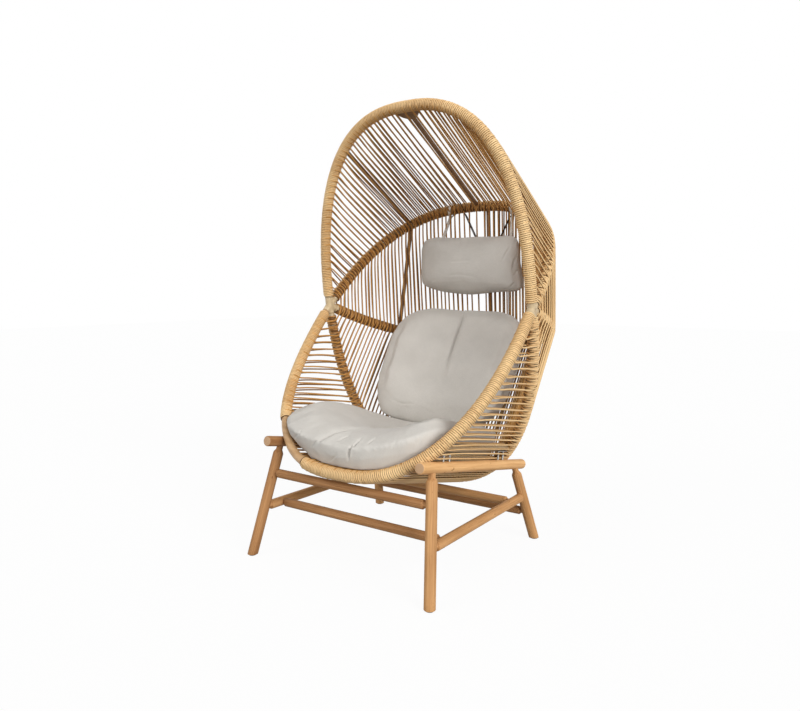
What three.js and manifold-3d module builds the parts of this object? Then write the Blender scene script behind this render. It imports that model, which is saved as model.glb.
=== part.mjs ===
// A pod chair: a tall bowl of cord woven over bent pipe hoops, with three loose cushions,
// bolted to a turned wooden stand. Millimetres, +Z up, the mouth of the bowl faces -Y.
// The origin is on the floor, in the middle of the chair's footprint.
import * as THREE from 'three';
import { mergeVertices } from 'three/addons/utils/BufferGeometryUtils.js';
import Module from 'manifold-3d';

const wasm = await Module();
wasm.setup();

// Fits
const seatGap = 0.3;
const boreOverrun = 3;

// Bowl: the five hoops spring from the two side joints, and each lies in its own tilted plane.
// A tilt is counted from straight up towards the back, in degrees.
const jointHalfSpan = 419;
const hoops = {
  hood_rim: { tilt: -8.1, reach: 665, fullness: 2.48 },
  upper_back_hoop: { tilt: 46.5, reach: 553, fullness: 2.47 },
  mid_back_hoop: { tilt: 108.6, reach: 466, fullness: 2.39 },
  lower_back_hoop: { tilt: 168.4, reach: 636, fullness: 2.3 },
  seat_rim: { tilt: 222.5, reach: 669, fullness: 2.53 },
};
const pipeRadius = 14;
const cordDiameter = 5;
const wrapRadius = pipeRadius + cordDiameter;
const strandRadius = cordDiameter / 2;
const strandPitch = 36;
const strutRadius = 8;
const pipeStart = 30;
const wrapStart = 41;
const strandStart = 78;
const sideStrutAngle = 54;
const bareRimFromAngle = 105;
const bareRimToAngle = 135;

// Gusset under the top of the hood
const gussetWidth = 96;
const gussetDepth = 34;
const gussetThickness = 4;

// Stand: the top rails hang under the bowl's runners, and the legs splay out from the rails.
const railRadius = 17;
const railInset = 119;
const railFrontOverhang = 139.4;
const railRearOverhang = 170.4;
const endRounding = 4;
const legRadius = 17;
const neckRadius = 8;
const neckLength = 13;
const shoulderLength = 9;
const tenonDepth = 12;
const frontFootSplay = 52;
const frontFootOverhang = 25;
const rearFootSplay = 43.5;
const rearFootOverhang = 20.5;
const frontLegFromRailEnd = 66;
const rearLegFromRailEnd = 62;
const sideStretcherRadius = 15.5;
const sideStretcherHeight = 159;
const crossRailRadius = 14.5;
const crossTenonRadius = 9;
const crossShoulder = 5;
const crossShoulderGap = 5;
const upperFrontRailBelowRim = 51.8;
const lowerRearRailHeight = 101;
const lowerFrontRailFromLeg = 75.8;
const upperRearRailFromLeg = 81.3;
const bowlClearance = 1.49;

// Floor glides
const glideRadius = 12;
const glideHeight = 3;
const glidePinRadius = 2.5;
const glidePinLength = 11;

// Stud plates that hold the bowl on the stand
const frontMountFromRim = 49;
const rearMountFromHoop = 70.5;
const frontMountDrop = 52.45;
const rearMountDrop = 56.8;
const studSpacing = 34;
const studRadius = 3.5;
const plateLength = 58;
const plateWidth = 16;
const plateThickness = 3;
const studHoleRadius = 4.6;
const studHoleDepth = 6;

// Cushions: the seat and the back keep their place from the side joints, and the pillow keeps
// its place from the crown of the upper back hoop, which it hangs from.
const seatCushion = {
  halfWidth: 330, halfLength: 318, frontHeight: 66, backHeight: 170, curl: 96,
  place: { y: -151, z: -461 }, slope: -8.5, fullness: 2.4, drawnInShare: 0.02,
};
const backCushion = {
  halfWidth: 291, halfLength: 250, frontHeight: 64, backHeight: 150, curl: 84,
  place: { y: 220, z: -233 }, slope: 57, fullness: 3, drawnInShare: 0.03,
};
const headPillow = {
  halfWidth: 220, halfLength: 105, frontHeight: 58, backHeight: 84, curl: 26,
  place: { y: -52.1, z: -228.7 }, slope: 85.6, fullness: 5, drawnInShare: 0.05,
};
const seatLiftLean = 15;
const crownFlatness = 2.4;
const crownPower = 0.62;
const drawnInPower = 4;
const mouthFrontTilt = 276;
const mouthFrontReach = 640;

// Pillow ties
const tiePlaces = { right: 158, left: -127 };
const tieWidth = 12;
const tieThickness = 2.5;
const tieClearance = 5;

// Facets
const pipeSides = 6;
const pipeSteps = 28;
const rodSides = 8;
const strandSides = 3;
const woodSides = 12;
const cushionSpokes = 28;
const cushionRings = 7;
const liningColumns = 32;

const degrees = THREE.MathUtils.degToRad;
const across = new THREE.Vector3(1, 0, 0);
const up = new THREE.Vector3(0, 0, 1);

// The bowl's lowest point just clears the cross rails.
const lowestPoint = Math.min(...Object.values(hoops).map(({ tilt, reach }) => reach * Math.cos(degrees(tilt))));
const jointHeight = sideStretcherHeight + crossRailRadius + bowlClearance + wrapRadius - lowestPoint;
const bowlOrigin = new THREE.Vector3(0, 0, jointHeight);

// The drawn radius that keeps a gap between the flats of two many-sided tubes
const cleared = (radius, sides) => radius + seatGap / Math.cos(Math.PI / sides);

// Turns a closed surface into a solid that can be joined and cut
function solidOf(positions, triangles) {
  return new wasm.Manifold(new wasm.Mesh({
    numProp: 3,
    vertProperties: new Float32Array(positions),
    triVerts: new Uint32Array(triangles),
  }));
}

// Turns a three.js geometry with hard edges into such a solid
function solidOfGeometry(geometry) {
  const bare = new THREE.BufferGeometry();
  bare.setAttribute('position', geometry.getAttribute('position'));
  if (geometry.index) bare.setIndex(geometry.index);
  const merged = mergeVertices(bare);
  const index = Array.from(merged.index.array);
  const triangles = [];
  for (let i = 0; i < index.length; i += 3) {
    const [a, b, c] = index.slice(i, i + 3);
    if (a !== b && b !== c && c !== a) triangles.push(a, b, c);
  }
  return solidOf(merged.getAttribute('position').array, triangles);
}

// A round solid along a path, with a radius and a direction at each point, and flat ends.
// Its facets keep one side turned to the reference direction.
function roundSolid(path, radii, directions, sides, reference) {
  const positions = [];
  const triangles = [];
  path.forEach((point, i) => {
    const along = directions[i];
    const side = reference.clone().addScaledVector(along, -reference.dot(along)).normalize();
    const other = along.clone().cross(side);
    for (let k = 0; k < sides; k++) {
      const turn = (k + 0.5) * 2 * Math.PI / sides;
      const rim = point.clone()
        .addScaledVector(side, radii[i] * Math.cos(turn))
        .addScaledVector(other, radii[i] * Math.sin(turn));
      positions.push(rim.x, rim.y, rim.z);
    }
  });
  for (let i = 0; i + 1 < path.length; i++) {
    for (let k = 0; k < sides; k++) {
      const next = (k + 1) % sides;
      const a = i * sides + k;
      const b = i * sides + next;
      triangles.push(a, b, b + sides, a, b + sides, a + sides);
    }
  }
  const last = (path.length - 1) * sides;
  for (let k = 1; k + 1 < sides; k++) {
    triangles.push(0, k + 1, k, last, last + k, last + k + 1);
  }
  return solidOf(positions, triangles);
}

// A straight rod between two points
function rod(ends, radius, sides, reference) {
  const direction = ends[1].clone().sub(ends[0]).normalize();
  return roundSolid(ends, [radius, radius], [direction, direction], sides, reference);
}

function box(sizeX, sizeY, sizeZ, matrix) {
  const geometry = new THREE.BoxGeometry(sizeX, sizeY, sizeZ);
  geometry.applyMatrix4(matrix);
  return solidOfGeometry(geometry);
}

const joined = (solids) => solids.reduce((whole, solid) => whole.add(solid));
const cutBy = (solid, cutters) => cutters.reduce((rest, cutter) => rest.subtract(cutter), solid);

// The largest body of a solid, without the crumbs that a cut can leave
const largest = (solid) => solid.decompose().reduce((a, b) => (b.volume() > a.volume() ? b : a));

// A hoop's centre line: half of a superellipse that stands on the line between the side joints
class HoopCurve extends THREE.Curve {
  constructor(shape, inset = 0) {
    super();
    this.arcLengthDivisions = 720;
    this.halfSpan = jointHalfSpan - inset;
    this.reach = shape.reach - inset;
    this.power = 2 / shape.fullness;
    this.outward = new THREE.Vector3(0, Math.sin(degrees(shape.tilt)), Math.cos(degrees(shape.tilt)));
    this.normal = this.outward.clone().cross(across);
  }

  getPoint(share, target = new THREE.Vector3()) {
    const turn = share * Math.PI;
    const cosine = Math.cos(turn);
    const sine = Math.max(Math.sin(turn), 0);
    return target.copy(bowlOrigin)
      .addScaledVector(across, Math.sign(cosine) * this.halfSpan * Math.abs(cosine) ** this.power)
      .addScaledVector(this.outward, this.reach * sine ** this.power);
  }

  // The distance along the hoop to a share of the half turn
  distanceTo(share) {
    const lengths = this.getLengths();
    const place = share * this.arcLengthDivisions;
    const whole = Math.min(Math.floor(place), this.arcLengthDivisions - 1);
    return THREE.MathUtils.lerp(lengths[whole], lengths[whole + 1], place - whole);
  }

  shareAt(distance) {
    return this.getUtoTmapping(distance / this.getLength());
  }

  // A tube round the hoop between two distances along it. All tubes of a hoop turn at the same
  // marks, so that one fits in another.
  tube(from, to, radius) {
    const inside = this.marks.filter((mark) => mark > from && mark < to);
    const shares = [from, ...inside, to].map((distance) => this.shareAt(distance));
    const path = shares.map((share) => this.getPoint(share));
    const directions = shares.map((share) => this.getTangent(share));
    return roundSolid(path, path.map(() => radius), directions, pipeSides, this.normal);
  }

  // The point of the hoop over a given place across the chair
  pointOver(x) {
    const cosine = (Math.abs(x) / this.halfSpan) ** (1 / this.power);
    const share = Math.acos(cosine) / Math.PI;
    return this.getPoint(x > 0 ? share : 1 - share);
  }
}

const sideStrutShare = sideStrutAngle / 180;
const strutShares = { right: sideStrutShare, middle: 0.5, left: 1 - sideStrutShare };
const bareRimShares = [bareRimFromAngle / 180, bareRimToAngle / 180];

const curves = Object.fromEntries(
  Object.entries(hoops).map(([name, shape]) => [name, new HoopCurve(shape)]),
);
for (const [name, curve] of Object.entries(curves)) {
  const breaks = name === 'seat_rim' ? bareRimShares : Object.values(strutShares);
  const even = Array.from({ length: pipeSteps - 1 }, (_, i) => (i + 1) / pipeSteps * curve.getLength());
  curve.marks = [...even, ...breaks.map((share) => curve.distanceTo(share))].sort((a, b) => a - b);
}

// Pipes
const hoopTube = (curve, start, radius) => curve.tube(start, curve.getLength() - start, radius);
const pipeCutters = Object.fromEntries(Object.entries(curves).map(
  ([name, curve]) => [name, hoopTube(curve, pipeStart, cleared(pipeRadius, pipeSides))],
));
const wrapCutters = Object.fromEntries(Object.entries(curves).map(
  ([name, curve]) => [name, hoopTube(curve, wrapStart, cleared(wrapRadius, pipeSides))],
));

// Struts run from hoop to hoop, and two runners join the seat rim to the lower back hoop.
const struts = [];
for (const [row, upper, lower] of [
  ['hood_strut', 'hood_rim', 'upper_back_hoop'],
  ['upper_back_strut', 'upper_back_hoop', 'mid_back_hoop'],
  ['lower_back_strut', 'mid_back_hoop', 'lower_back_hoop'],
]) {
  for (const [side, share] of Object.entries(strutShares)) {
    struts.push({
      name: `${row}_${side}`,
      upper,
      lower,
      ends: [curves[upper].getPoint(share), curves[lower].getPoint(share)],
    });
  }
}
const railHalfSpacing = jointHalfSpan - railInset;
for (const [side, x] of [['right', railHalfSpacing], ['left', -railHalfSpacing]]) {
  struts.push({
    name: `seat_runner_${side}`,
    upper: 'lower_back_hoop',
    lower: 'seat_rim',
    ends: [curves.lower_back_hoop.pointOver(x), curves.seat_rim.pointOver(x)],
  });
}
const strutTube = ({ ends }, radius) => rod(ends, radius, rodSides, across);
const strutCutters = struts.map((strut) => strutTube(strut, cleared(strutRadius, rodSides)));

function strutSolid(strut) {
  return cutBy(strutTube(strut, strutRadius), [pipeCutters[strut.upper], pipeCutters[strut.lower]]);
}

// A side joint: the five pipe ends welded into one star
function sideJoint(side) {
  const centre = bowlOrigin.clone().addScaledVector(across, side * jointHalfSpan);
  const arms = Object.values(curves).map((curve) => {
    const tip = centre.clone().addScaledVector(curve.outward, pipeStart - seatGap);
    return rod([centre, tip], pipeRadius, pipeSides, curve.normal);
  });
  return joined(arms);
}

// The gusset: a rounded plate that lies inside the hood, between the rim and the middle strut
function gusset() {
  const rim = curves.hood_rim.getPoint(0.5);
  const below = curves.upper_back_hoop.getPoint(0.5);
  const along = below.clone().sub(rim).normalize();
  const inward = along.clone().cross(across);
  const outline = new THREE.Shape();
  // The arc rises half as high as the point that steers it.
  const steer = gussetDepth * 2;
  outline.moveTo(-gussetWidth / 2, 0);
  outline.quadraticCurveTo(0, steer, gussetWidth / 2, 0);
  const geometry = new THREE.ExtrudeGeometry(outline, {
    depth: gussetThickness, bevelEnabled: false, curveSegments: pipeSides,
  });
  const place = rim.clone()
    .addScaledVector(along, wrapRadius)
    .addScaledVector(inward, strutRadius + seatGap);
  geometry.applyMatrix4(new THREE.Matrix4().makeBasis(across, along, across.clone().cross(along))
    .setPosition(place));
  return cutBy(solidOfGeometry(geometry), [wrapCutters.hood_rim, ...strutCutters]);
}

// Weave: each hoop's cord winding, with the strands that run from it to the next hoop.
// A row is cut in three between its side struts, and its bore takes the pipe.
const rows = [
  { name: 'hood_weave', from: 'hood_rim', to: 'upper_back_hoop' },
  { name: 'upper_back_weave', from: 'upper_back_hoop', to: 'mid_back_hoop' },
  { name: 'lower_back_weave', from: 'mid_back_hoop', to: 'lower_back_hoop' },
  { name: 'seat_weave', from: 'lower_back_hoop', to: 'seat_rim' },
];

// Whether a strand that ends at a point of the upper back hoop would run through a pillow tie
const meetsTie = (point) => Object.values(tiePlaces).some(
  (place) => Math.abs(point.x - place) < tieWidth / 2 + cordDiameter,
);

function weavePanel(row, from, to) {
  const curve = curves[row.from];
  const next = curves[row.to];
  const pieces = [curve.tube(from, to, wrapRadius)];
  const first = Math.max(from + strandPitch / 2, strandStart);
  const last = Math.min(to - strandPitch / 2, curve.getLength() - strandStart);
  const count = Math.round((last - first) / strandPitch);
  const clearOfStrut = strutRadius + strandRadius + seatGap;
  for (let i = 0; i <= count; i++) {
    const share = curve.shareAt(THREE.MathUtils.lerp(first, last, i / count));
    const ends = [curve.getPoint(share), next.getPoint(share)];
    const tiedEnd = { [row.from]: ends[0], [row.to]: ends[1] }.upper_back_hoop;
    if (tiedEnd && meetsTie(tiedEnd)) continue;
    const crosses = struts.some((strut) => {
      const [start, end] = strut.ends;
      const near = Math.min(start.distanceTo(ends[0]), start.distanceTo(ends[1]));
      const far = Math.min(end.distanceTo(ends[0]), end.distanceTo(ends[1]));
      const samePair = (strut.upper === row.from && strut.lower === row.to);
      return samePair && Math.min(near, far) < clearOfStrut;
    });
    if (!crosses) pieces.push(rod(ends, strandRadius, strandSides, across));
  }
  return largest(cutBy(joined(pieces), [pipeCutters[row.from], rimCutters[row.to], ...strutCutters]));
}

// The seat rim is wound on both sides of a bare stretch at its left front.
const [bareFrom, bareTo] = bareRimShares.map((share) => curves.seat_rim.distanceTo(share));
const seatRimStretches = {
  seat_rim_wrap_right: [wrapStart, bareFrom],
  seat_rim_wrap_left: [bareTo, curves.seat_rim.getLength() - wrapStart],
};
const rimCutters = { ...wrapCutters };
rimCutters.seat_rim = joined([
  pipeCutters.seat_rim,
  ...Object.values(seatRimStretches).map(([from, to]) => curves.seat_rim.tube(
    from - seatGap, to + seatGap, cleared(wrapRadius, pipeSides),
  )),
]);

// Stand: the rails run under the runners, at set drops below them at the two mounts
function runnerAt(side, y) {
  const [back, front] = struts.find(({ name, ends }) => name.startsWith('seat_runner')
    && Math.sign(ends[0].x) === side).ends;
  return front.clone().lerp(back, (y - front.y) / (back.y - front.y));
}
const frontMountPlace = curves.seat_rim.pointOver(railHalfSpacing).y + frontMountFromRim;
const rearMountPlace = curves.lower_back_hoop.pointOver(railHalfSpacing).y - rearMountFromHoop;
const railUnder = (side, y, drop) => runnerAt(side, y).addScaledVector(up, -drop);
const railDirection = railUnder(1, rearMountPlace, rearMountDrop)
  .sub(railUnder(1, frontMountPlace, frontMountDrop));
const railLength = railDirection.length() + railFrontOverhang + railRearOverhang;
railDirection.normalize();
const railEnd = (side) => railUnder(side, frontMountPlace, frontMountDrop)
  .addScaledVector(railDirection, -railFrontOverhang);
const railPoint = (side, distance) => railEnd(side).addScaledVector(railDirection, distance);
const railAt = (side, y) => railPoint(side, (y - railEnd(side).y) / railDirection.y);

const legs = [];
for (const [side, x] of [['right', 1], ['left', -1]]) {
  for (const [end, splay, overhang, railPlace, legPlace] of [
    ['front', frontFootSplay, -frontFootOverhang, 0, frontLegFromRailEnd],
    ['rear', rearFootSplay, rearFootOverhang, railLength, railLength - rearLegFromRailEnd],
  ]) {
    const top = railPoint(x, legPlace);
    const bottom = railPoint(x, railPlace).add(new THREE.Vector3(x * splay, overhang, 0)).setZ(0);
    legs.push({ name: `leg_${end}_${side}`, side: x, end, bottom, top });
  }
}
const legNamed = (end, side) => legs.find((leg) => leg.end === end && leg.side === side);
const onLeg = (leg, height) => leg.bottom.clone().lerp(leg.top, height / leg.top.z);

// A turned bar between two points, from a list of distances and radii
function turned(start, direction, profile, sides = woodSides) {
  const path = profile.map(([distance]) => start.clone().addScaledVector(direction, distance));
  const radii = profile.map(([, radius]) => radius);
  const reference = Math.abs(direction.x) > Math.abs(direction.z) ? up : across;
  return roundSolid(path, radii, path.map(() => direction), sides, reference);
}

function legTenonCutter(leg, extra = 0) {
  const direction = leg.top.clone().sub(leg.bottom).normalize();
  const neckBottom = leg.bottom.distanceTo(leg.top) - railRadius - neckLength;
  const reach = leg.bottom.distanceTo(leg.top) + tenonDepth;
  return turned(leg.bottom, direction, [
    [neckBottom, neckRadius + extra],
    [reach + extra, neckRadius + extra],
  ]);
}

function glidePinCutter(foot) {
  return turned(foot, up, [
    [0, cleared(glidePinRadius, rodSides)],
    [glideHeight + glidePinLength + seatGap, cleared(glidePinRadius, rodSides)],
  ], rodSides);
}

function legBody(leg) {
  const direction = leg.top.clone().sub(leg.bottom).normalize();
  const length = leg.bottom.distanceTo(leg.top);
  const shoulder = length - railRadius - neckLength;
  const body = turned(leg.bottom, direction, [
    [-legRadius, legRadius],
    [shoulder - shoulderLength, legRadius],
    [shoulder, neckRadius + endRounding],
    [shoulder + endRounding, neckRadius],
    [length + tenonDepth - seatGap, neckRadius],
  ]);
  const slab = legRadius * 4;
  const floorSlab = box(slab, slab, slab, new THREE.Matrix4().setPosition(
    leg.bottom.x, leg.bottom.y, glideHeight + seatGap - slab / 2,
  ));
  return cutBy(body, [floorSlab, glidePinCutter(leg.bottom)]);
}

// A stretcher with rounded shoulders and a thin tenon at each end, and the holes that take it
function stretcher(start, end, radius, startInset, endInset) {
  const direction = end.clone().sub(start).normalize();
  const length = start.distanceTo(end);
  const solid = turned(start, direction, [
    [0, crossTenonRadius],
    [startInset, crossTenonRadius],
    [startInset + crossShoulder, radius],
    [length - endInset - crossShoulder, radius],
    [length - endInset, crossTenonRadius],
    [length, crossTenonRadius],
  ]);
  const hole = turned(start, direction, [
    [-seatGap, cleared(crossTenonRadius, woodSides)],
    [length + seatGap, cleared(crossTenonRadius, woodSides)],
  ]);
  return { solid, hole };
}

const sideStretchers = {};
for (const [side, x] of [['right', 1], ['left', -1]]) {
  sideStretchers[side] = stretcher(
    onLeg(legNamed('front', x), sideStretcherHeight),
    onLeg(legNamed('rear', x), sideStretcherHeight),
    sideStretcherRadius, legRadius + crossShoulderGap, legRadius + crossShoulderGap,
  );
}
const legCross = (end, height) => [-1, 1].map((side) => onLeg(legNamed(end, side), height));

// The ends of a cross rail between the side stretchers, at a distance from a pair of legs
const sideCross = (end, distance) => [-1, 1].map((side) => {
  const near = onLeg(legNamed(end, side), sideStretcherHeight);
  const far = onLeg(legNamed(end === 'front' ? 'rear' : 'front', side), sideStretcherHeight);
  return near.clone().lerp(far, distance / Math.abs(far.y - near.y));
});
const legInset = legRadius + crossShoulderGap;
const sideInset = sideStretcherRadius + crossShoulderGap;
const upperFrontRailHeight = curves.seat_rim.getPoint(0.5).z - upperFrontRailBelowRim;
const crossRails = {
  front_rail_upper: stretcher(...legCross('front', upperFrontRailHeight), crossRailRadius, legInset, legInset),
  front_rail_lower: stretcher(...sideCross('front', lowerFrontRailFromLeg), crossRailRadius, sideInset, sideInset),
  rear_rail_upper: stretcher(...sideCross('rear', upperRearRailFromLeg), crossRailRadius, sideInset, sideInset),
  rear_rail_lower: stretcher(...legCross('rear', lowerRearRailHeight), crossRailRadius, legInset, legInset),
};

// Stud plates: a flat plate under a runner, with two studs that go down through the rail
const studPlates = [];
for (const [side, x] of [['right', 1], ['left', -1]]) {
  for (const [end, place] of [['front', frontMountPlace], ['rear', rearMountPlace]]) {
    studPlates.push({ name: `stud_plate_${end}_${side}`, side: x, place });
  }
}

function studPlateParts({ side, place }) {
  const rail = railAt(side, place);
  const runner = runnerAt(side, place);
  const upward = across.clone().cross(railDirection).normalize();
  if (upward.z < 0) upward.negate();
  const rise = runner.clone().sub(rail).dot(upward) - strutRadius - seatGap;
  const basis = new THREE.Matrix4().makeBasis(across, railDirection, across.clone().cross(railDirection));
  const middle = rail.clone().addScaledVector(upward, rise - plateThickness / 2);
  const plate = box(plateWidth, plateLength, plateThickness, basis.clone().setPosition(middle));
  const studs = [];
  const holes = [];
  for (const end of [-1, 1]) {
    const axis = rail.clone().addScaledVector(railDirection, end * studSpacing / 2);
    studs.push(turned(axis, upward, [
      [studHoleDepth - railRadius, studRadius],
      [rise - plateThickness / 2, studRadius],
    ], rodSides));
    holes.push(turned(axis, upward, [
      [-railRadius - boreOverrun, studHoleRadius],
      [studHoleDepth - railRadius, studHoleRadius],
    ], rodSides));
    holes.push(turned(axis, upward, [
      [-railRadius - boreOverrun, cleared(studRadius, rodSides)],
      [railRadius + boreOverrun, cleared(studRadius, rodSides)],
    ], rodSides));
  }
  return { solid: cutBy(joined([plate, ...studs]), strutCutters), holes };
}
const mounts = studPlates.map((plate) => ({ ...plate, ...studPlateParts(plate) }));

function topRail(side) {
  const body = turned(railEnd(side), railDirection, [
    [0, railRadius - endRounding],
    [endRounding, railRadius],
    [railLength - endRounding, railRadius],
    [railLength, railRadius - endRounding],
  ]);
  const sockets = legs.filter((leg) => leg.side === side)
    .map((leg) => legTenonCutter(leg, seatGap / Math.cos(Math.PI / woodSides)));
  const holes = mounts.filter((mount) => mount.side === side).flatMap((mount) => mount.holes);
  return cutBy(body, [...sockets, ...holes]);
}

function legSolid(leg) {
  const cutters = [sideStretchers[leg.side > 0 ? 'right' : 'left'].hole];
  cutters.push(leg.end === 'front' ? crossRails.front_rail_upper.hole : crossRails.rear_rail_lower.hole);
  return cutBy(legBody(leg), cutters);
}

function glide(foot) {
  return turned(foot, up, [
    [0, glideRadius],
    [glideHeight, glideRadius],
    [glideHeight, glidePinRadius],
    [glideHeight + glidePinLength, glidePinRadius],
  ], rodSides * 2);
}

// The middle of a cushion
function cushionCentre(shape) {
  const origin = shape === headPillow ? curves.upper_back_hoop.getPoint(0.5) : bowlOrigin;
  return origin.clone().add(new THREE.Vector3(0, shape.place.y, shape.place.z));
}

// Cushions: a crowned form whose sides pull in between its corners, curled to the bowl
function cushionForm(shape, extra = 0) {
  const halfWidth = shape.halfWidth + extra;
  const halfLength = shape.halfLength + extra;
  const slope = degrees(shape.slope);
  const lengthwise = new THREE.Vector3(0, Math.cos(slope), Math.sin(slope));
  const facing = across.clone().cross(lengthwise);
  const centre = cushionCentre(shape);
  const power = 2 / shape.fullness;
  const positions = [];
  const triangles = [];
  const addPoint = (turn, ring, face) => {
    const cosine = Math.cos(turn);
    const sine = Math.sin(turn);
    const drawn = 1 - shape.drawnInShare * Math.cos(2 * turn) ** 2 * ring ** drawnInPower;
    const x = Math.sign(cosine) * Math.abs(cosine) ** power * halfWidth * ring * drawn;
    const y = Math.sign(sine) * Math.abs(sine) ** power * halfLength * ring * drawn;
    const height = face > 0 ? shape.frontHeight + extra : -shape.backHeight - extra;
    const crown = height * (1 - ring ** crownFlatness) ** crownPower;
    const lift = shape.curl * (x / halfWidth) ** 2;
    const point = centre.clone()
      .addScaledVector(across, x)
      .addScaledVector(lengthwise, y)
      .addScaledVector(facing, crown + lift);
    positions.push(point.x, point.y, point.z);
    return positions.length / 3 - 1;
  };
  const ringShares = Array.from({ length: cushionRings }, (_, i) => Math.sin((i + 1) / cushionRings * Math.PI / 2));
  const turns = Array.from({ length: cushionSpokes }, (_, k) => k * 2 * Math.PI / cushionSpokes);
  const edge = turns.map((turn) => addPoint(turn, 1, 1));
  for (const face of [1, -1]) {
    const pole = addPoint(0, 0, face);
    let inner = turns.map((turn) => addPoint(turn, ringShares[0], face));
    const flip = (a, b, c) => (face > 0 ? triangles.push(a, b, c) : triangles.push(a, c, b));
    turns.forEach((_, k) => flip(pole, inner[k], inner[(k + 1) % cushionSpokes]));
    for (let i = 1; i < cushionRings; i++) {
      const outer = i === cushionRings - 1 ? edge : turns.map((turn) => addPoint(turn, ringShares[i], face));
      for (let k = 0; k < cushionSpokes; k++) {
        const next = (k + 1) % cushionSpokes;
        flip(inner[k], outer[k], outer[next]);
        flip(inner[k], outer[next], inner[next]);
      }
      inner = outer;
    }
  }
  return solidOf(positions, triangles);
}

// The space inside the woven bowl, just clear of the strands, which the cushions fill
function lining() {
  const tilts = Object.values(hoops).map(({ tilt }) => tilt);
  const widest = Math.max(...tilts.slice(1).map((tilt, i) => tilt - tilts[i]));
  const inset = (strandRadius + seatGap) / Math.cos(degrees(widest / 2));
  const mouthFront = { tilt: mouthFrontTilt, reach: mouthFrontReach, fullness: hoops.seat_rim.fullness };
  const around = [...Object.values(hoops), mouthFront].map((shape) => new HoopCurve(shape, inset));
  const positions = [];
  const triangles = [];
  const add = (point) => positions.push(point.x, point.y, point.z) / 3 - 1;
  const poles = [0, 1].map((share) => add(around[0].getPoint(share)));
  const grid = around.map((curve) => Array.from({ length: liningColumns - 1 },
    (_, i) => add(curve.getPoint((i + 1) / liningColumns))));
  grid.forEach((column, r) => {
    const beside = grid[(r + 1) % grid.length];
    triangles.push(poles[0], beside[0], column[0]);
    triangles.push(poles[1], column[liningColumns - 2], beside[liningColumns - 2]);
    for (let i = 0; i + 2 < liningColumns; i++) {
      triangles.push(column[i], beside[i + 1], column[i + 1], column[i], beside[i], beside[i + 1]);
    }
  });
  return solidOf(positions, triangles);
}
const liningSolid = lining();
const clearOfFrame = (solid) => cutBy(solid.intersect(liningSolid),
  [...Object.values(wrapCutters), ...strutCutters]);

// The runners with the space under them, from which the seat cushion could not lift straight out
const liftDrop = up.clone().applyAxisAngle(across, degrees(seatLiftLean)).multiplyScalar(-strutRadius);
const liftCutters = struts.filter(({ name }) => name.startsWith('seat_runner')).map((runner) => {
  const cutter = strutTube(runner, cleared(strutRadius, rodSides));
  return wasm.Manifold.hull([cutter, cutter.translate(liftDrop.toArray())]);
});

// A pillow tie: a strap that loops round the upper back hoop and runs down to the pillow
function pillowTie(place) {
  const hoop = curves.upper_back_hoop.pointOver(place);
  const innerRadius = wrapRadius + tieClearance;
  const outerRadius = innerRadius + tieThickness;
  const ring = new THREE.Shape().absarc(0, 0, outerRadius, 0, 2 * Math.PI);
  ring.holes.push(new THREE.Path().absarc(0, 0, innerRadius, 0, 2 * Math.PI, true));
  const loop = new THREE.ExtrudeGeometry(ring, {
    depth: tieWidth, bevelEnabled: false, curveSegments: pipeSides,
  });
  const acrossTie = new THREE.Matrix4().makeBasis(new THREE.Vector3(0, 1, 0), up, across)
    .setPosition(hoop.clone().addScaledVector(across, -tieWidth / 2));
  loop.applyMatrix4(acrossTie);
  const target = cushionCentre(headPillow).setX(hoop.x);
  const down = target.clone().sub(hoop);
  const length = down.length() - (innerRadius + tieThickness / 2);
  down.normalize();
  const middle = hoop.clone().addScaledVector(down, innerRadius + tieThickness / 2 + length / 2);
  const tail = box(tieWidth, tieThickness, length, new THREE.Matrix4()
    .makeBasis(across, down.clone().cross(across), down).setPosition(middle));
  return joined([solidOfGeometry(loop), tail]).subtract(cushionForm(headPillow, seatGap));
}

// The finished chair
const chair = new THREE.Group();
chair.name = 'pod_chair';

function addMesh(group, name, solid, material) {
  const { vertProperties, triVerts } = solid.getMesh();
  const geometry = new THREE.BufferGeometry();
  geometry.setAttribute('position', new THREE.Float32BufferAttribute(vertProperties, 3));
  geometry.setIndex(Array.from(triVerts));
  geometry.computeVertexNormals();
  const mesh = new THREE.Mesh(geometry, material());
  mesh.name = name;
  group.add(mesh);
}

const wood = () => new THREE.MeshStandardMaterial({ color: 0xd9a96a, roughness: 0.6, metalness: 0 });
const cord = () => new THREE.MeshStandardMaterial({ color: 0xd2ab74, roughness: 0.75, metalness: 0 });
const paintedPipe = () => new THREE.MeshStandardMaterial({ color: 0xc4a98a, roughness: 0.45, metalness: 0.3 });
const cloth = () => new THREE.MeshStandardMaterial({ color: 0xbab5ad, roughness: 0.95, metalness: 0 });
const steel = () => new THREE.MeshStandardMaterial({ color: 0x9a9a98, roughness: 0.35, metalness: 1 });
const plastic = () => new THREE.MeshStandardMaterial({ color: 0x4a4744, roughness: 0.6, metalness: 0 });

const frame = new THREE.Group();
for (const [name, curve] of Object.entries(curves)) {
  addMesh(frame, name, hoopTube(curve, pipeStart, pipeRadius), paintedPipe);
}
addMesh(frame, 'side_joint_right', sideJoint(1), paintedPipe);
addMesh(frame, 'side_joint_left', sideJoint(-1), paintedPipe);
for (const strut of struts) addMesh(frame, strut.name, strutSolid(strut), paintedPipe);
addMesh(frame, 'hood_gusset', gusset(), paintedPipe);

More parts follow.
